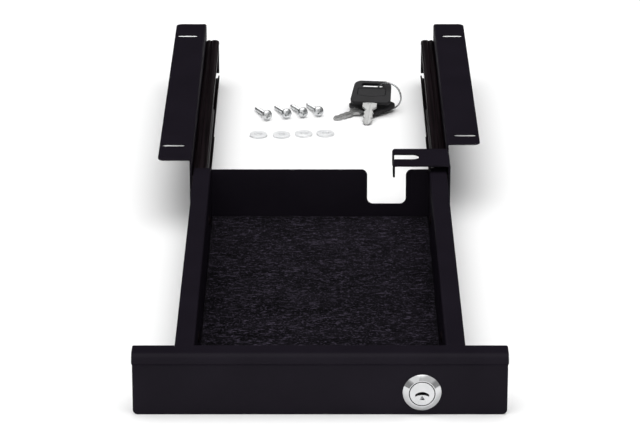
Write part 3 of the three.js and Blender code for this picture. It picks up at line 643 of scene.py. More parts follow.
right_bracket = angle_bracket("right_bracket_sheet", RIGHT_FLANGE_FRONT)
neck = pull("neck", rectangle(WALL_IN, 0, WALL_OUT, NECK_TOP), "Y", *NECK_Y)
combine(right_bracket, catch_sheet(), neck, operation="UNION")
soften(cut_screw_slots(right_bracket, RIGHT_SCREW_SLOTS))
dress(right_bracket, powder_coat, "brackets", "right_bracket")
print("right bracket faces:", len(right_bracket.data.polygons))

# %% [markdown]
# ## Slides
#
# A three part slide nests three channels. Two U shaped cages keep rows of steel balls between
# them, and the outer channel has a groove pressed along its lips for the balls to run in. All
# sections are drawn in offset from the bracket wall and height from the slide's middle, as a
# rolling mill would see them. They stand for the CAD's faceted sections, with rounder bends.

# %% Slide sections
SLIDE_X = WALL_IN
SLIDE_Z = 22
SLIDE_SHEET = 1.2
OUTER_ENDS = (5, 345)
MIDDLE_ENDS = (-158.1, 175.9)
INNER_ENDS = (-324.1, 10.9)


def slide_point(offset, height, radius=0):
    return (SLIDE_X - offset, SLIDE_Z + height, radius)


def channel(name, upper_half, sheet, ends):
    """A symmetric channel from the upper half of its middle line, free edge first."""
    lower_half = [(offset, -height, *rest) for offset, height, *rest in upper_half][::-1]
    line = [slide_point(*corner) for corner in [*upper_half, *lower_half]]
    return pull(name, bent_sheet(line, sheet, 6), "Y", *ends)


print("slide lengths:", [b - a for a, b in (OUTER_ENDS, MIDDLE_ENDS, INNER_ENDS)])

# %% Slide channels
OUTER_BALL_V = 14.55
INNER_BALL_V = 9.85
MIDDLE_FLANGE_V = 12.2
INNER_FLANGE_V = 7.5
LIP_CREST = 16.9
LIP_GROOVE = LIP_CREST - 0.8
STOP_Y = (343.5, 345)
STOP_X = (85, 94.9)
STOP_FOOT = 10.5
SLIDE_SLOT_YS = (28, 175, 322)
SLIDE_SLOT_SIZE = (9, 5)


def outer_channel(name):
    """The fixed channel, with the groove pressed along both lips and the stop at its rear."""
    upper = [(10, LIP_CREST - 3), (10, LIP_CREST, 2.2), (5.4, LIP_CREST, 0.9),
             (4.6, LIP_GROOVE, 0.9), (3.5, LIP_GROOVE, 0.9), (2.7, LIP_CREST, 0.9),
             (0.6, LIP_CREST, 1.4)]
    piece = channel(name, upper, SLIDE_SHEET, OUTER_ENDS)
    stop = rectangle(STOP_X[0], STOP_FOOT, STOP_X[1], SLIDE_Z + LIP_CREST, 0.8)
    combine(piece, pull("stop", stop, "Y", *STOP_Y), operation="UNION")
    slots = [slot_outline(y, SLIDE_Z, *SLIDE_SLOT_SIZE) for y in SLIDE_SLOT_YS]
    return combine(piece, *[pull("slot", slot, "X", 90, 100) for slot in slots])


def middle_channel(name):
    upper = [(11, MIDDLE_FLANGE_V - 1.3), (11, MIDDLE_FLANGE_V, 1.2), (3.6, MIDDLE_FLANGE_V, 1.4)]
    return channel(name, upper, SLIDE_SHEET, MIDDLE_ENDS)


def inner_channel(name):
    upper = [(6.3, INNER_FLANGE_V + 1), (6.3, INNER_FLANGE_V, 0.9), (12.1, INNER_FLANGE_V, 1.4)]
    return channel(name, upper, SLIDE_SHEET, INNER_ENDS)


CHANNELS = [("outer_rail", outer_channel, "brackets"),
            ("middle_rail", middle_channel, "{}_middle_rail_body"),
            ("inner_rail", inner_channel, "drawer")]
for side in ("left", "right"):
    for part, make, body in CHANNELS:
        rail = on_side(soften(make(f"{side}_{part}_channel"), width=0.12), side)
        dress(rail, rail_black, body.format(side), f"{side}_{part}")
    print(side, "slide made of", len(CHANNELS), "channels")

# %% [markdown]
# ## Geometry Nodes for what repeats
#
# Balls in a cage and rivets along a slide stand at an even pitch, so a node tree places them:
# a line of points, with one finished shape on each. The tree's sizes are named inputs. Its
# result is turned into a plain mesh before it rides on a body, because a moving part has to be
# a mesh of its own.

# %% Tree helpers
def paint_copies(tree, copies, end):
    """Make the copies real, and set the finish that grow fills in."""
    real = add(tree, "GeometryNodeRealizeInstances")
    paint = add(tree, "GeometryNodeSetMaterial")
    join(tree, (copies, "Instances", real, "Geometry"), (real, "Geometry", paint, "Geometry"),
         (paint, "Geometry", end, "Geometry"))


def grow(piece, tree, material, **values):
    """Run the tree on the piece with these values, and keep the result as a plain mesh."""
    step = modify(piece, "NODES", node_group=tree)
    for item in tree.interface.items_tree:
        if item.in_out == "INPUT" and item.name.replace(" ", "_") in values:
            step[item.identifier] = values[item.name.replace(" ", "_")]
    for node in tree.nodes:
        if node.bl_idname == "GeometryNodeSetMaterial":
            node.inputs["Material"].default_value = material
    return settle(piece)


# %% A row: copies of the incoming shape at an even pitch along Y
row, row_in, row_out = new_group(
    "row_along_y", "GeometryNodeTree", {"Geometry": None, "Count": 2, "Pitch": 0.1},
    {"Geometry": None})
row_step = add(row, "ShaderNodeCombineXYZ")
row_line = add(row, "GeometryNodeMeshLine")
row_copy = add(row, "GeometryNodeInstanceOnPoints")
join(row, (row_in, "Pitch", row_step, "Y"), (row_in, "Count", row_line, "Count"),
     (row_step, 0, row_line, "Offset"), (row_line, "Mesh", row_copy, "Points"),
     (row_in, "Geometry", row_copy, "Instance"))
paint_copies(row, row_copy, row_out)
print("trees and groups:", len(bpy.data.node_groups))

# %% Ball cages
BALL_RADIUS = 1.5
BALL_PITCH = 23
BALL_COUNT = 5
POCKET_RADIUS = BALL_RADIUS + 0.12
CAGE_SHEET = 0.6
CAGE_MARGIN = 8


def ball(x, y, z):
    shell = bmesh.new()
    bmesh.ops.create_icosphere(shell, subdivisions=3, radius=BALL_RADIUS * MM)
    piece = keep("ball", shell)
    piece.data.shade_smooth()
    return move(piece, x, y, z)


def ball_row(piece):
    return grow(piece, row, None, Count=BALL_COUNT, Pitch=BALL_PITCH * MM)


def ball_cage(name, web, edge, ball_offset, ball_v, middle_y):
    """A bent strip with a row of balls in round pockets along each edge."""
    reach = (BALL_COUNT - 1) * BALL_PITCH / 2
    ends = (middle_y - reach - CAGE_MARGIN, middle_y + reach + CAGE_MARGIN)
    strip = channel(name, [(edge, ball_v), (web, ball_v, 0.8)], CAGE_SHEET, ends)
    x, y = SLIDE_X - ball_offset, middle_y - reach
    combine(strip, ball_row(pull("pocket", circle(POCKET_RADIUS, 32, x, y), "Z", 0, 50)))
    soften(strip, width=0.08, segments=1)
    rows = [ball_row(ball(x, y, SLIDE_Z + v)) for v in (-ball_v, ball_v)]
    return fuse(name, [strip, *rows])


CAGES = [("outer_ball_cage", (2.1, 9.1, 7.5, OUTER_BALL_V, 90.45)),
         ("inner_ball_cage", (5.1, 10.7, 8.4, INNER_BALL_V, -73.6))]
for side in ("left", "right"):
    for part, sizes in CAGES:
        cage = on_side(ball_cage(f"{side}_{part}_balls", *sizes), side)
        dress(cage, bright_steel, f"{side}_{part}_body", f"{side}_{part}")
print("balls in the four cages:", 4 * 2 * BALL_COUNT)

# %% [markdown]
# The bumpers are small moulded rubber pads that the middle and inner channels meet when the
# drawer is shut, and the rivets are set from outside the bracket and from inside the tray.

# %% Rubber bumpers
BUMPER_Y = (341.5, 343.4)
BUMPER_FACE = (86.9, 12, 94.6, 32, 2.2)
for side in ("left", "right"):
    pad = pull(f"{side}_bumper_pad", rectangle(*BUMPER_FACE), "Y", *BUMPER_Y)
    on_side(soften(pad, width=0.5, segments=3), side)
    dress(pad, black_rubber, "brackets", f"{side}_rail_bumper")

# %% Rivets
RIVET_PROFILE = [(0, -1.3), (1.2, -1.25), (2.4, -1.0), (3.4, -0.55), (3.9, -0.1), (3.95, 0),
                 (2, 0), (2, 3), (0, 3)]
TRAY_IN = 81.2
# Each row: the pair, its body, where its heads lie, which way it points, first rivet and pitch.
RIVET_PAIRS = [("bracket_rivet", "brackets", WALL_OUT, -1, 60, 230),
               ("tray_rivet", "drawer", TRAY_IN, 1, -269.1, 225)]


def rivet_pair(name, head_x, toward, y, pitch):
    """Two rivets. The head sits at head_x and the shank points toward +X or -X."""
    rivet = turn_on_lathe(name, RIVET_PROFILE, 32)
    rivet.data.transform(Matrix.Rotation(math.radians(-90 * toward), 4, "Z"))
    smooth(move(rivet, head_x, y, SLIDE_Z), 40)
    return grow(rivet, row, rail_black, Count=2, Pitch=pitch * MM)


for side in ("left", "right"):
    for part, body, *place in RIVET_PAIRS:
        pair = on_side(rivet_pair(f"{side}_{part}s", *place), side)
        nodes = [f"{side}_{part}_{end}" for end in ("front", "rear")]
        dress(pair, rail_black, body, *nodes)

# %% [markdown]
# ## Tray
#
# The tray is one sheet folded up at the sides and out again into narrow flanges, with a front
# and a back plate set between its walls. A notch with rounded corners in the back plate lets a
# charging cable through.

# %% Tray channel
TRAY_SHEET = 1.2
TRAY_TOP = 42
TRAY_BOTTOM = 2.5
TRAY_WALL = TRAY_IN + TRAY_SHEET / 2
TRAY_EDGE = 94
TRAY_FRONT = -345.2
TRAY_REAR = 13.4
FLANGE_FRONT = -331.3
UNDER_PANEL_TOP = 40.2
UNDER_ROLL = 37.8
ROLL_REAR = -341.6

floor_z = TRAY_BOTTOM + TRAY_SHEET / 2
flange_z = TRAY_TOP - TRAY_SHEET / 2
tray_line = both_sides([(TRAY_WALL, floor_z, 0.9), (TRAY_WALL, flange_z, 0.9),
                        (TRAY_EDGE, flange_z)])
tray = pull("tray_channel", bent_sheet(tray_line, TRAY_SHEET), "Y", TRAY_FRONT, TRAY_REAR)
outer = TRAY_WALL + TRAY_SHEET / 2
trim(tray, rounded(both_sides([(outer, TRAY_FRONT - 1), (outer, FLANGE_FRONT),
                               (TRAY_EDGE, FLANGE_FRONT, 1.8), (TRAY_EDGE, TRAY_REAR, 1.5)])))
combine(tray, *[pull("under_panel", rectangle(-100, -350, 100, rear), "Z", height, 60)
                for rear, height in ((FLANGE_FRONT, UNDER_PANEL_TOP), (ROLL_REAR, UNDER_ROLL))])
soften(tray)
dress(tray, powder_coat, "drawer", "tray")
print("tray channel faces:", len(tray.data.polygons))

# %% Tray back plate
PLATE_FOOT = 3.7
BACK_PLATE_Y = (9.5, 10.7)
NOTCH = (35.2, 64.0, 15.0, 4.5)

left, right, foot, corner = NOTCH
back_outline = rounded([(-TRAY_IN, PLATE_FOOT), (TRAY_IN, PLATE_FOOT), (TRAY_IN, TRAY_TOP, 0.6),
                        (right, TRAY_TOP, corner), (right, foot, corner), (left, foot, corner),
                        (left, TRAY_TOP, corner), (-TRAY_IN, TRAY_TOP, 0.6)])
back_plate = soften(pull("tray_back_plate", back_outline, "Y", *BACK_PLATE_Y))
dress(back_plate, powder_coat, "drawer", "tray")
print("notch for a cable in mm:", right - left, "wide,", TRAY_TOP - foot, "deep")

# %% Tray front plate
LOCK_X = 65.8
LOCK_Z = 15.6
LOCK_HOLE = 9.7


def cut_lock_hole(piece):
    hole = circle(LOCK_HOLE, 64, LOCK_X, LOCK_Z)
    return combine(piece, pull("lock_hole", hole, "Y", -360, -330))


front_plate = pull("tray_front_plate", rectangle(-TRAY_IN, PLATE_FOOT, TRAY_IN, UNDER_ROLL),
                   "Y", TRAY_FRONT, TRAY_FRONT + TRAY_SHEET)
soften(cut_lock_hole(front_plate))
dress(front_plate, powder_coat, "drawer", "tray")
print("front plate thickness in mm:", TRAY_SHEET)

# %% [markdown]
# ## Front panel
#
# The panel's top edge is rolled forwards, stands a little proud of the face and ends in a soft
# crease, which shows as one dark line across the panel. Behind the roll the sheet turns back
# over the tray. One section holds all of that.

# %% Front panel
PANEL_SHEET = 1.5
PANEL_HALF = 121
ROLL_OVERHANG = 0.4
PANEL_REAR = -331.6
ROLL_Y = -347.45
WEB_Y = -346.25
ROLL_FOOT = 35.9
CREASE = 34.7

wide = PANEL_HALF + ROLL_OVERHANG
panel_line = [(PANEL_REAR, 41.25), (ROLL_Y, 41.25, 4.65), (ROLL_Y, ROLL_FOOT, 0.85),
              (WEB_Y, CREASE, 0.85), (WEB_Y, 0)]
panel = pull("front_panel_sheet", bent_sheet(panel_line, PANEL_SHEET, 12), "X", -wide, wide)
front_view = rounded(both_sides([(PANEL_HALF, 0, 3.4), (PANEL_HALF, CREASE, 1.0),
                                 (wide, ROLL_FOOT, 1.0), (wide, 50)]))
top_view = rounded(both_sides([(wide, -360), (wide, PANEL_REAR, 1.5)]))
combine(panel, pull("front_view", front_view, "Y", -360, -320),
        pull("top_view", top_view, "Z", *FULL_HEIGHT), operation="INTERSECT")
soften(cut_lock_hole(panel), width=0.25, segments=3)
dress(panel, powder_coat, "drawer", "front_panel")
print("front panel faces:", len(panel.data.polygons))

# %% [markdown]
# ## Felt mat
#
# The mat is a cut piece of needle felt, so its edge is soft and not quite straight. The mat
# itself is a fine grid whose edge and top are moved a little by waves. On top of it a node tree
# scatters short bent fibres, which lie mostly from side to side as the pale flecks do.

# %% Mat
FELT_LOW = (-80.7, -331, 3.72)
FELT_HIGH = (80.7, 8.7, 5.9)
FELT_UNEVEN = 0.15
FELT_CELL = 4.0
FELT_MIDDLE = -161
EDGE_WAVE = 0.35
TOP_WAVE = 0.12


def felt_body(name):
    """A grid with a thickness. Its rim bulges, and its top is a little uneven."""
    (x0, y0, bottom), (x1, y1, top) = FELT_LOW, FELT_HIGH
    top -= FELT_UNEVEN
    across, along = round((x1 - x0) / FELT_CELL), round((y1 - y0) / FELT_CELL)
    corners, faces = [], []
    for j in range(along + 1):
        for i in range(across + 1):
            x = x0 + (x1 - x0) * i / across
            y = y0 + (y1 - y0) * j / along
            lift = TOP_WAVE * math.sin(x * 0.21) * math.sin(y * 0.17)
            if i in (0, across) or j in (0, along):
                wave = abs(EDGE_WAVE * math.sin(x * 0.13 + y * 0.05) * math.sin(y * 0.083))
                x, y = x - math.copysign(wave, x), y - math.copysign(wave, y - FELT_MIDDLE)
            corners.append((x, y, top + lift))
            if i < across and j < along:
                a = j * (across + 1) + i
                faces.append((a, a + 1, a + across + 2, a + across + 1))
    mat = add_mesh(name, corners, faces)
    if mat.data.polygons[0].normal.z < 0:
        mat.data.flip_normals()
    modify(mat, "SOLIDIFY", thickness=(top - bottom) * MM, offset=-1)
    return soften(settle(mat), width=0.7, segments=3, angle=60, flats=False)


mat = felt_body("felt_pad")
dress(mat, felt_cloth, "drawer", "felt_mat")
print("mat faces:", len(mat.data.polygons))

# %% Fibre tree: a short bent tube on each of many points, turned and sized at random
fibre_tree, fibre_in, fibre_out = new_group(
    "loose_fibres", "GeometryNodeTree",
    {"Geometry": None, "Density": 60000.0, "Bend": 0.0036, "Radius": 0.00006, "Spread": 0.9,
     "Tilt": 0.05, "Seed": 7}, {"Geometry": None})
top = add(fibre_tree, "GeometryNodeInputNormal")
split = add(fibre_tree, "ShaderNodeSeparateXYZ")
upward = add(fibre_tree, "FunctionNodeCompare", B=0.9)
spots = add(fibre_tree, "GeometryNodeDistributePointsOnFaces")
arc = add(fibre_tree, "GeometryNodeCurveArc", Resolution=5, Start_Angle=math.radians(55),
          Sweep_Angle=math.radians(70))
thread = add(fibre_tree, "GeometryNodeCurvePrimitiveCircle", Resolution=3)
tube = add(fibre_tree, "GeometryNodeCurveToMesh")
back = add(fibre_tree, "ShaderNodeMath")
back.operation = "MULTIPLY"
back.inputs[1].default_value = -1
shift = add(fibre_tree, "ShaderNodeCombineXYZ")
centred = add(fibre_tree, "GeometryNodeTransform")
most = add(fibre_tree, "ShaderNodeCombineXYZ")
least = add(fibre_tree, "ShaderNodeVectorMath")
least.operation = "SCALE"
least.inputs["Scale"].default_value = -1
turned = add(fibre_tree, "FunctionNodeRandomValue")
turned.data_type = "FLOAT_VECTOR"
sized = add(fibre_tree, "FunctionNodeRandomValue", Min=0.5, Max=1.2)
copies = add(fibre_tree, "GeometryNodeInstanceOnPoints")
join(fibre_tree, (top, "Normal", split, 0), (split, "Z", upward, "A"),
     (fibre_in, "Geometry", spots, "Mesh"), (upward, "Result", spots, "Selection"),
     (fibre_in, "Density", spots, "Density"), (fibre_in, "Seed", spots, "Seed"),
     (fibre_in, "Bend", arc, "Radius"), (fibre_in, "Radius", thread, "Radius"),
     (arc, "Curve", tube, "Curve"), (thread, "Curve", tube, "Profile Curve"),
     (fibre_in, "Bend", back, 0), (back, 0, shift, "Y"),
     (shift, 0, centred, "Translation"), (tube, "Mesh", centred, "Geometry"),
     (fibre_in, "Tilt", most, "X"), (fibre_in, "Tilt", most, "Y"),
     (fibre_in, "Spread", most, "Z"), (most, 0, least, 0),
     (least, 0, turned, "Min"), (most, 0, turned, "Max"),
     (fibre_in, "Seed", turned, "Seed"), (fibre_in, "Seed", sized, "Seed"),
     (spots, "Points", copies, "Points"), (centred, "Geometry", copies, "Instance"),
     (turned, "Value", copies, "Rotation"), (sized, "Value", copies, "Scale"))
paint_copies(fibre_tree, copies, fibre_out)
print("nodes in the fibre tree:", len(fibre_tree.nodes))

# %% Loose fibres, on the top face of a thin box that they replace
FIBRE_AREA = (-77.5, -328, 77.5, 5.5)
FIBRE_BOX_Z = (5.4, 5.82)
fibres = pull("felt_fibres", rectangle(*FIBRE_AREA), "Z", *FIBRE_BOX_Z)
smooth(grow(fibres, fibre_tree, felt_fibre), 60)
dress(fibres, felt_fibre, "drawer")
print("fibre triangles:", sum(len(f.vertices) - 2 for f in fibres.data.polygons))

# %% [markdown]
# ## Cam lock
#
# The head is a chromed cone with a narrow lip round the plug. Behind the panel it is a threaded
# barrel with two flats, so that it can't turn in its hole, held by a nut. The plug carries a
# flat cam. All of it is turned about the lock's axis and then moved to its place, and the parts
# that turn with the key ride on their own body.

# %% Lock head and barrel
PANEL_FACE = -347
HEAD_FRONT = -350
BARREL_END = -308.5
CAM_Y = (-308.2, -306.2)
BARREL_RADIUS = 9.4
BARREL_FLAT = 8.0
PLUG_RADIUS = 8.0


def at_lock(piece):
    return move(piece, LOCK_X, 0, LOCK_Z)


def threaded(name, core, crest, pitch, ends, point=0, sides=32, rows=8):
    """A threaded rod along Y. The thread is a ridge whose height depends on turn and length."""
    low, high = ends
    count = max(2, round((high - low) / pitch * rows))
    rings = [[(0, low, 0)]]
    for j in range(count + 1):
        y = low + (high - low) * j / count
        shrink = min(1.0, max(0.04, (high - y) / point)) if point else 1.0
        ring = []
        for i in range(sides):
            phase = (y / pitch - i / sides) % 1
            ridge = max(0.0, 1 - abs(phase - 0.5) * 2.6)
            radius = (core + (crest - core) * ridge) * shrink
            angle = 2 * math.pi * i / sides
            ring.append((radius * math.cos(angle), y, radius * math.sin(angle)))
        rings.append(ring)
    return skin(name, [*rings, [(0, high, 0)]])


head_profile = [(7.4, -348), (8.5, -348), (8.5, -349.85), (8.6, HEAD_FRONT), (9.05, HEAD_FRONT),
                (9.2, -349.9), (12.3, -347.85), (12.5, -347.65), (12.5, PANEL_FACE),
                (9.2, PANEL_FACE), (9.2, -346), (7.4, -346)]
head = smooth(turn_on_lathe("lock_head", head_profile, 128), 20)

barrel = threaded("lock_barrel", 8.85, BARREL_RADIUS, 1.5, (-346.3, BARREL_END), sides=64)
for corner in barrel.data.vertices:
    corner.co.x = max(-BARREL_FLAT * MM, min(BARREL_FLAT * MM, corner.co.x))
combine(barrel, pull("bore", circle(7.3, 64), "Y", -350, -300))
smooth(barrel, 30)
housing = at_lock(fuse("lock_housing_chromed", [head, barrel]))
dress(housing, chrome_plate, "drawer", "lock_housing")

# %% Painted shade: a dark ring in the gap between the head's lip and the plug, where shade falls
shade_ring_profile = [(8.1, -349.5), (8.46, -349.5), (8.46, -348.3), (8.1, -348.3)]
shade_ring = smooth(turn_on_lathe("dust_seal", shade_ring_profile, 96), 30)
# The black rubber finish on this ring paints the shade in the gap. It is not a real part of the
# lock.
dress(at_lock(shade_ring), black_rubber, "drawer", "lock_housing")
print("seal width in mm:", round(shade_ring_profile[1][0] - shade_ring_profile[0][0], 2))

# %% Nut
NUT_FLATS = 11
NUT_Y = (-343.7, -339.7)


def hexagon_nut(name, half_flats, ends, hole):
    """A hexagon with its corners turned down, as a lathe cuts them from bar."""
    y0, y1 = ends
    mid = (y0 + y1) / 2
    corner = half_flats / math.cos(math.pi / 6)
    nut = pull(name, circle(corner, 6), "Y", y0, y1)
    dome = [(0, y0 - 0.01), (half_flats * 0.97, y0 - 0.01), (corner + 0.1, y0 + 1.0),
            (corner + 0.1, mid + 0.5), (half_flats * 0.97, y1 + 0.01), (0, y1 + 0.01)]
    combine(nut, turn_on_lathe("dome", dome, 64), operation="INTERSECT")
    combine(nut, pull("nut_hole", circle(hole, 64), "Y", y0 - 2, y1 + 2))
    return soften(nut, width=0.12)


nut = at_lock(hexagon_nut("lock_nut_hex", NUT_FLATS, NUT_Y, BARREL_RADIUS + 0.1))
dress(nut, chrome_plate, "drawer", "lock_nut")
print("nut across its flats in mm:", 2 * NUT_FLATS)

# %% Plug with its keyway: a crescent slot with a small ward below
KEYWAY_HALF = 4.5
SQUARE_HALF = 3.6


def crescent_edge(foot, rise, way):
    """Points along one bowed edge of the slot, to the right or, with way -1, to the left."""
    places = [way * (i * KEYWAY_HALF / 6 - KEYWAY_HALF) for i in range(13)]
    return [(x, foot + rise * (1 - (x / KEYWAY_HALF) ** 2)) for x in places]


plug_profile = [(0, HEAD_FRONT), (7.85, HEAD_FRONT), (PLUG_RADIUS, HEAD_FRONT + 0.15),
                (PLUG_RADIUS, -348.15), (7.1, -348.1), (7.1, BARREL_END), (0, BARREL_END)]
plug = turn_on_lathe("lock_plug_chromed", plug_profile, 96)
square = rectangle(-SQUARE_HALF, -SQUARE_HALF, SQUARE_HALF, SQUARE_HALF, 0.3)
combine(plug, pull("square", square, "Y", BARREL_END - 1, CAM_Y[1]), operation="UNION")
crescent = crescent_edge(-1.75, 1.0, 1) + crescent_edge(-0.45, 1.85, -1)
ward = rounded([(-1.7, -4.2, 0.2), (1.7, -4.2, 0.2), (0, -1.1, 0.1)], 3)
combine(plug, pull("crescent", crescent, "Y", -352, -341), pull("ward", ward, "Y", -352, -343))
soften(plug, width=0.1)
dress(at_lock(plug), chrome_plate, "lock_cylinder", "lock_plug")
print("keyway in mm:", 2 * KEYWAY_HALF, "wide")

# %% Cam
CAM_LENGTH = 33.8
CAM_HALF = 6.5
HUB_RADIUS = 8.5

arm = rounded([(-CAM_LENGTH, -CAM_HALF, 3.2), (0, -CAM_HALF), (0, CAM_HALF),
               (-CAM_LENGTH, CAM_HALF, 3.2)])
cam = pull("lock_cam_plate", arm, "Y", *CAM_Y)
combine(cam, pull("hub", circle(HUB_RADIUS, 64), "Y", *CAM_Y), operation="UNION")
combine(cam, pull("square_hole", rectangle(-3.7, -3.7, 3.7, 3.7), "Y", -320, -300))
soften(cam, width=0.25, segments=3)
dress(at_lock(cam), bright_steel, "lock_cylinder", "lock_cam")
print("cam reach from the lock's axis in mm:", CAM_LENGTH)


# %% Cam screw, with a cross recess like those of the mounting screws
def cross_recess(name, reach, width, y0, y1):
    """The tapered cross of a driver: two wedges along the axis."""
    wedges = []
    for turn in (0, 90):
        rings = [[(-x, y, -z), (x, y, -z), (x, y, z), (-x, y, z)]
                 for x, y, z in ((reach, y0, width), (reach * 0.3, y1, width * 0.7))]
        wedges.append(skin(name, rings, caps=True))
        wedges[-1].data.transform(Matrix.Rotation(math.radians(turn), 4, "Y"))
    return combine(*wedges, operation="UNION")


cam_head_profile = [(0, -306.1), (4.6, -306.1), (4.6, -305.2), (4.2, -304.5), (3.0, -304.05),
                    (0, -303.9)]
cam_head = turn_on_lathe("cam_screw_pan", cam_head_profile, 48)
combine(cam_head, cross_recess("cross", 2.6, 0.5, -303.5, -305.6))
smooth(cam_head, 30)
dress(at_lock(cam_head), bright_steel, "lock_cylinder", "cam_screw")

# %% [markdown]
# ## Fittings in the bag
#
# Four zinc plated screws and four nylon washers come with the brackets, and one function makes
# each kind. A screw lies on the rim of its head and on the tip of its thread, so it slopes a
# little. Each one is turned differently about its own axis, as loose screws are.

# %% Screws
FLOOR_GAP = 0.1
SCREW_HEAD = 4.3
SCREW_SLOPE = math.atan2(SCREW_HEAD - 2, 24)
SCREW_HEADING = 0.36
SCREW_PLACES = [(-43.4, 250.5), (-27.5, 254.5), (-14.2, 257.5), (-1.2, 260.5)]
PAN_PROFILE = [(0, -2.8), (1.4, -2.78), (2.6, -2.5), (3.55, -1.9), (4.15, -1.0),
               (SCREW_HEAD, -0.35), (SCREW_HEAD, 0), (1.6, 0.1), (0, 0.1)]


def wood_screw(name):
    head = turn_on_lathe("pan", PAN_PROFILE, 48)
    combine(head, cross_recess("cross", 3.1, 0.75, -3.4, -0.8))
    thread = threaded("thread", 1.4, 2.0, 1.9, (0, 30), point=6, sides=20)
    return fuse(name, [smooth(head, 28), smooth(thread, 50)])


for number, (x, y) in enumerate(SCREW_PLACES, 1):
    screw = wood_screw(f"wood_screw_{number}")
    lie = Matrix.Rotation(SCREW_HEADING, 4, "Z") @ Matrix.Rotation(-SCREW_SLOPE, 4, "X")
    screw.data.transform(lie @ Matrix.Rotation(0.6 * number, 4, "Y"))
    move(screw, x, y, SCREW_HEAD * math.cos(SCREW_SLOPE) + FLOOR_GAP)
    dress(screw, zinc_plate, "drawer", f"mounting_screw_{number}")
print("screw slope in degrees:", round(math.degrees(SCREW_SLOPE), 1))

# %% Washers
WASHER_PLACES = [(-49.6, 210.5), (-31, 210.5), (-13.2, 213), (4.3, 213.8)]
WASHER_PROFILE = [(3.1, 0.3), (3.3, 0), (6.9, 0), (7.2, 0.3), (7.2, 1.3), (6.9, 1.8),
                  (6.4, 2.0), (3.9, 2.0), (3.3, 1.8), (3.1, 1.4)]
for number, (x, y) in enumerate(WASHER_PLACES, 1):
    washer = turn_on_lathe(f"washer_{number}", WASHER_PROFILE, 64)
    washer.data.transform(Matrix.Rotation(math.radians(90), 4, "X"))
    smooth(move(washer, x, y, FLOOR_GAP), 40)
    dress(washer, milky_nylon, "drawer", f"nylon_washer_{number}")
print("washers:", len(WASHER_PLACES))

# %% [markdown]
# ## Keys
#
# Each key is a steel blade in a moulded bow. The bow has a slot for the ring and a shallow bare
# recess with a bowed front edge. The lower key lies almost flat, on the foot of the ring. The
# upper one stands on its tip and leans on the ring. The ring is two turns of flattened wire.

# %% Key bow
BOW_THICK = 3.2
BOW_HALF = 14
BOW_WIDTHS = (16.75, 15)
RECESS_HALF = 11.5
RECESS_DEPTH = 0.5
RING_SLOT_Y = 8.5
RING_SLOT_SIZE = (18, 4.6)


def key_bow(name):
    """A plate that narrows towards the ring's slot, with a recess in its upper face."""
    front, rear = BOW_WIDTHS
    outline = rounded([(-front, -BOW_HALF, 4), (front, -BOW_HALF, 4), (rear, BOW_HALF, 6),
                       (-rear, BOW_HALF, 6)], 10)
    bow = pull(name, outline, "Z", 0, BOW_THICK)
    recess = rounded([(-RECESS_HALF, 4.2, 1), (-RECESS_HALF, -4.8, 1), (0, -6.8, 23),
                      (RECESS_HALF, -4.8, 1), (RECESS_HALF, 4.2, 1)], 10)
    combine(bow, pull("ring_slot", slot_outline(0, RING_SLOT_Y, *RING_SLOT_SIZE), "Z", -2, 6),
            pull("recess", recess, "Z", BOW_THICK - RECESS_DEPTH, 6))
    return soften(bow, width=0.45, segments=3)


# %% Key blade
BLADE_THICK = 2.0
BLADE_LENGTH = 27
BLADE_HALF = 4.0
SHOULDER_HALF = 5.8
FIRST_CUT = 6.8
CUT_STEP = 5.4
CUT_DEPTHS = (1.3, 0.8, 1.3)
GROOVE_DEPTH = 0.6


def key_blade(name):
    """A flat blade with a wide shoulder, cuts on both edges and two grooves on each side."""
    root = -BOW_HALF
    edge = [(BLADE_HALF, root + 5), (BLADE_HALF, root - 0.3), (SHOULDER_HALF, root - 0.3),
            (SHOULDER_HALF, root - 5)]
    for i, depth in enumerate(CUT_DEPTHS):
        start = root - FIRST_CUT - i * CUT_STEP
        edge += [(BLADE_HALF, start), (BLADE_HALF - depth, start - CUT_STEP * 0.35),
                 (BLADE_HALF - depth, start - CUT_STEP * 0.6)]
    edge += [(BLADE_HALF, root - BLADE_LENGTH + 4), (1.4, root - BLADE_LENGTH)]
    low = (BOW_THICK - BLADE_THICK) / 2
    high = low + BLADE_THICK
    blade = pull(name, both_sides(edge), "Z", low, high)
    grooves = [pull("groove", rectangle(left, -60, left + 1.1, root - 1), "Z", *span)
               for left in (-1.9, 0.7)
               for span in ((-1, low + GROOVE_DEPTH), (high - GROOVE_DEPTH, 6))]
    return soften(combine(blade, *grooves), width=0.12)


def put(piece, place):
    """Put the piece at a place whose shift is in millimetres."""
    place = place.copy()
    place.translation *= MM
    piece.data.transform(place)
    return piece


# %% Split ring
def wire(name, points, deep, wide, sides=12):
    """Oval wire along a list of points, with its ends closed."""
    turns = [2 * math.pi * i / sides for i in range(sides)]
    rings = []
    for i, point in enumerate(points):
        along = (points[min(i + 1, len(points) - 1)] - points[max(i - 1, 0)]).normalized()
        side = along.cross(Vector((point.x, 0, point.z)).normalized()).normalized()
        out = side.cross(along)
        rings.append([point + out * math.cos(a) * deep + side * math.sin(a) * wide
                      for a in turns])
    return skin(name, rings, caps=True)


COIL_RADIUS = 11.15
COIL_RISE = 0.8
COIL_STEPS = 160
RING_REACH = 11
RING_TILT = 0.022
RING_HEADING = -0.442
RING_PLACE = (56.6, 278.4, 0.9 + RING_REACH * math.cos(RING_TILT))

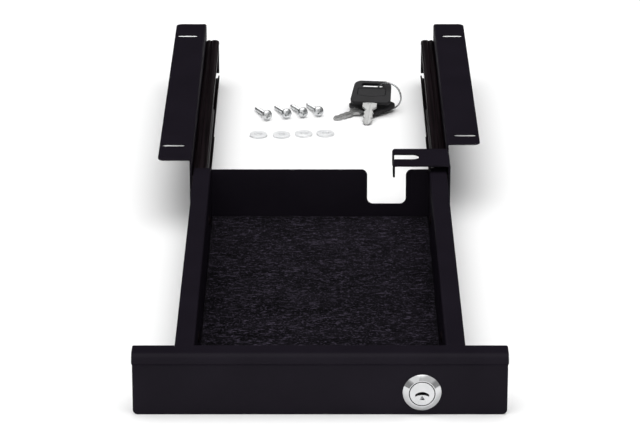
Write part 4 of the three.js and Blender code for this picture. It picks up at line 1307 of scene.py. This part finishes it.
coil = []
for i in range(COIL_STEPS + 1):
    angle = 4 * math.pi * i / COIL_STEPS
    step = min(1, max(0, (angle / (2 * math.pi) - 0.75) / 0.5))
    coil.append(Vector((COIL_RADIUS * math.cos(angle), COIL_RISE * (step - 0.5),
                        COIL_RADIUS * math.sin(angle))))
ring = smooth(wire("split_ring", coil, 0.62, 0.4), 50)
ring_turn = Matrix.Rotation(RING_HEADING, 4, "Z") @ Matrix.Rotation(RING_TILT, 4, "X")
ring_place = Matrix.Translation(RING_PLACE) @ ring_turn
dress(put(ring, ring_place), bright_steel, "drawer", "key_ring")
print("ring width in mm:", 2 * COIL_RADIUS)

# %% [markdown]
# A key hangs where its slot crosses the ring. Each row gives the key's heading, how far round
# the ring it hangs, and how far the ring has slid along the slot. The slope follows, because
# the tip touches the floor.

# %% Both keys on the ring
KEYS = (("lower", -0.9, 3.828, -2.06), ("upper", -0.12, 2.48, 5.14))
TIP_TO_SLOT = BOW_HALF + BLADE_LENGTH + RING_SLOT_Y
TIP_HEIGHT = FLOOR_GAP + BLADE_THICK / 2

for side, heading, round_ring, along_slot in KEYS:
    across, up = RING_REACH * math.cos(round_ring), RING_REACH * math.sin(round_ring)
    crossing = ring_place @ Vector((across, 0, up))
    slope = math.asin((crossing.z - TIP_HEIGHT) / TIP_TO_SLOT)
    turn = Matrix.Rotation(heading, 4, "Z") @ Matrix.Rotation(slope, 4, "X")
    slot_place = Vector((along_slot, RING_SLOT_Y, BOW_THICK / 2))
    place = Matrix.Translation(crossing - turn @ slot_place) @ turn
    bow = put(key_bow(f"{side}_bow_moulded"), place)
    dress(bow, key_plastic, "drawer", f"{side}_key_bow")
    blade = put(key_blade(f"{side}_blade_cut"), place)
    dress(blade, key_steel, "drawer", f"{side}_key_blade")
    print(side, "key slope in degrees:", round(math.degrees(slope), 1))

# %% [markdown]
# ## Floor
#
# The photograph's ground is plain white. A wide pale floor gives that, and keeps a soft shadow
# under the brackets. It is part of the studio and not of the object.

# %% Floor
floor_shell = bmesh.new()
bmesh.ops.create_circle(floor_shell, cap_ends=True, segments=64, radius=9)
floor = keep("floor", floor_shell)
floor_paint, _, floor_shader = new_material("floor_paint")
fill(floor_shader, {"Base Color": (0.97, 0.97, 0.97, 1), "Roughness": 0.9,
                    "Specular IOR Level": 0.0})
floor.data.materials.append(floor_paint)
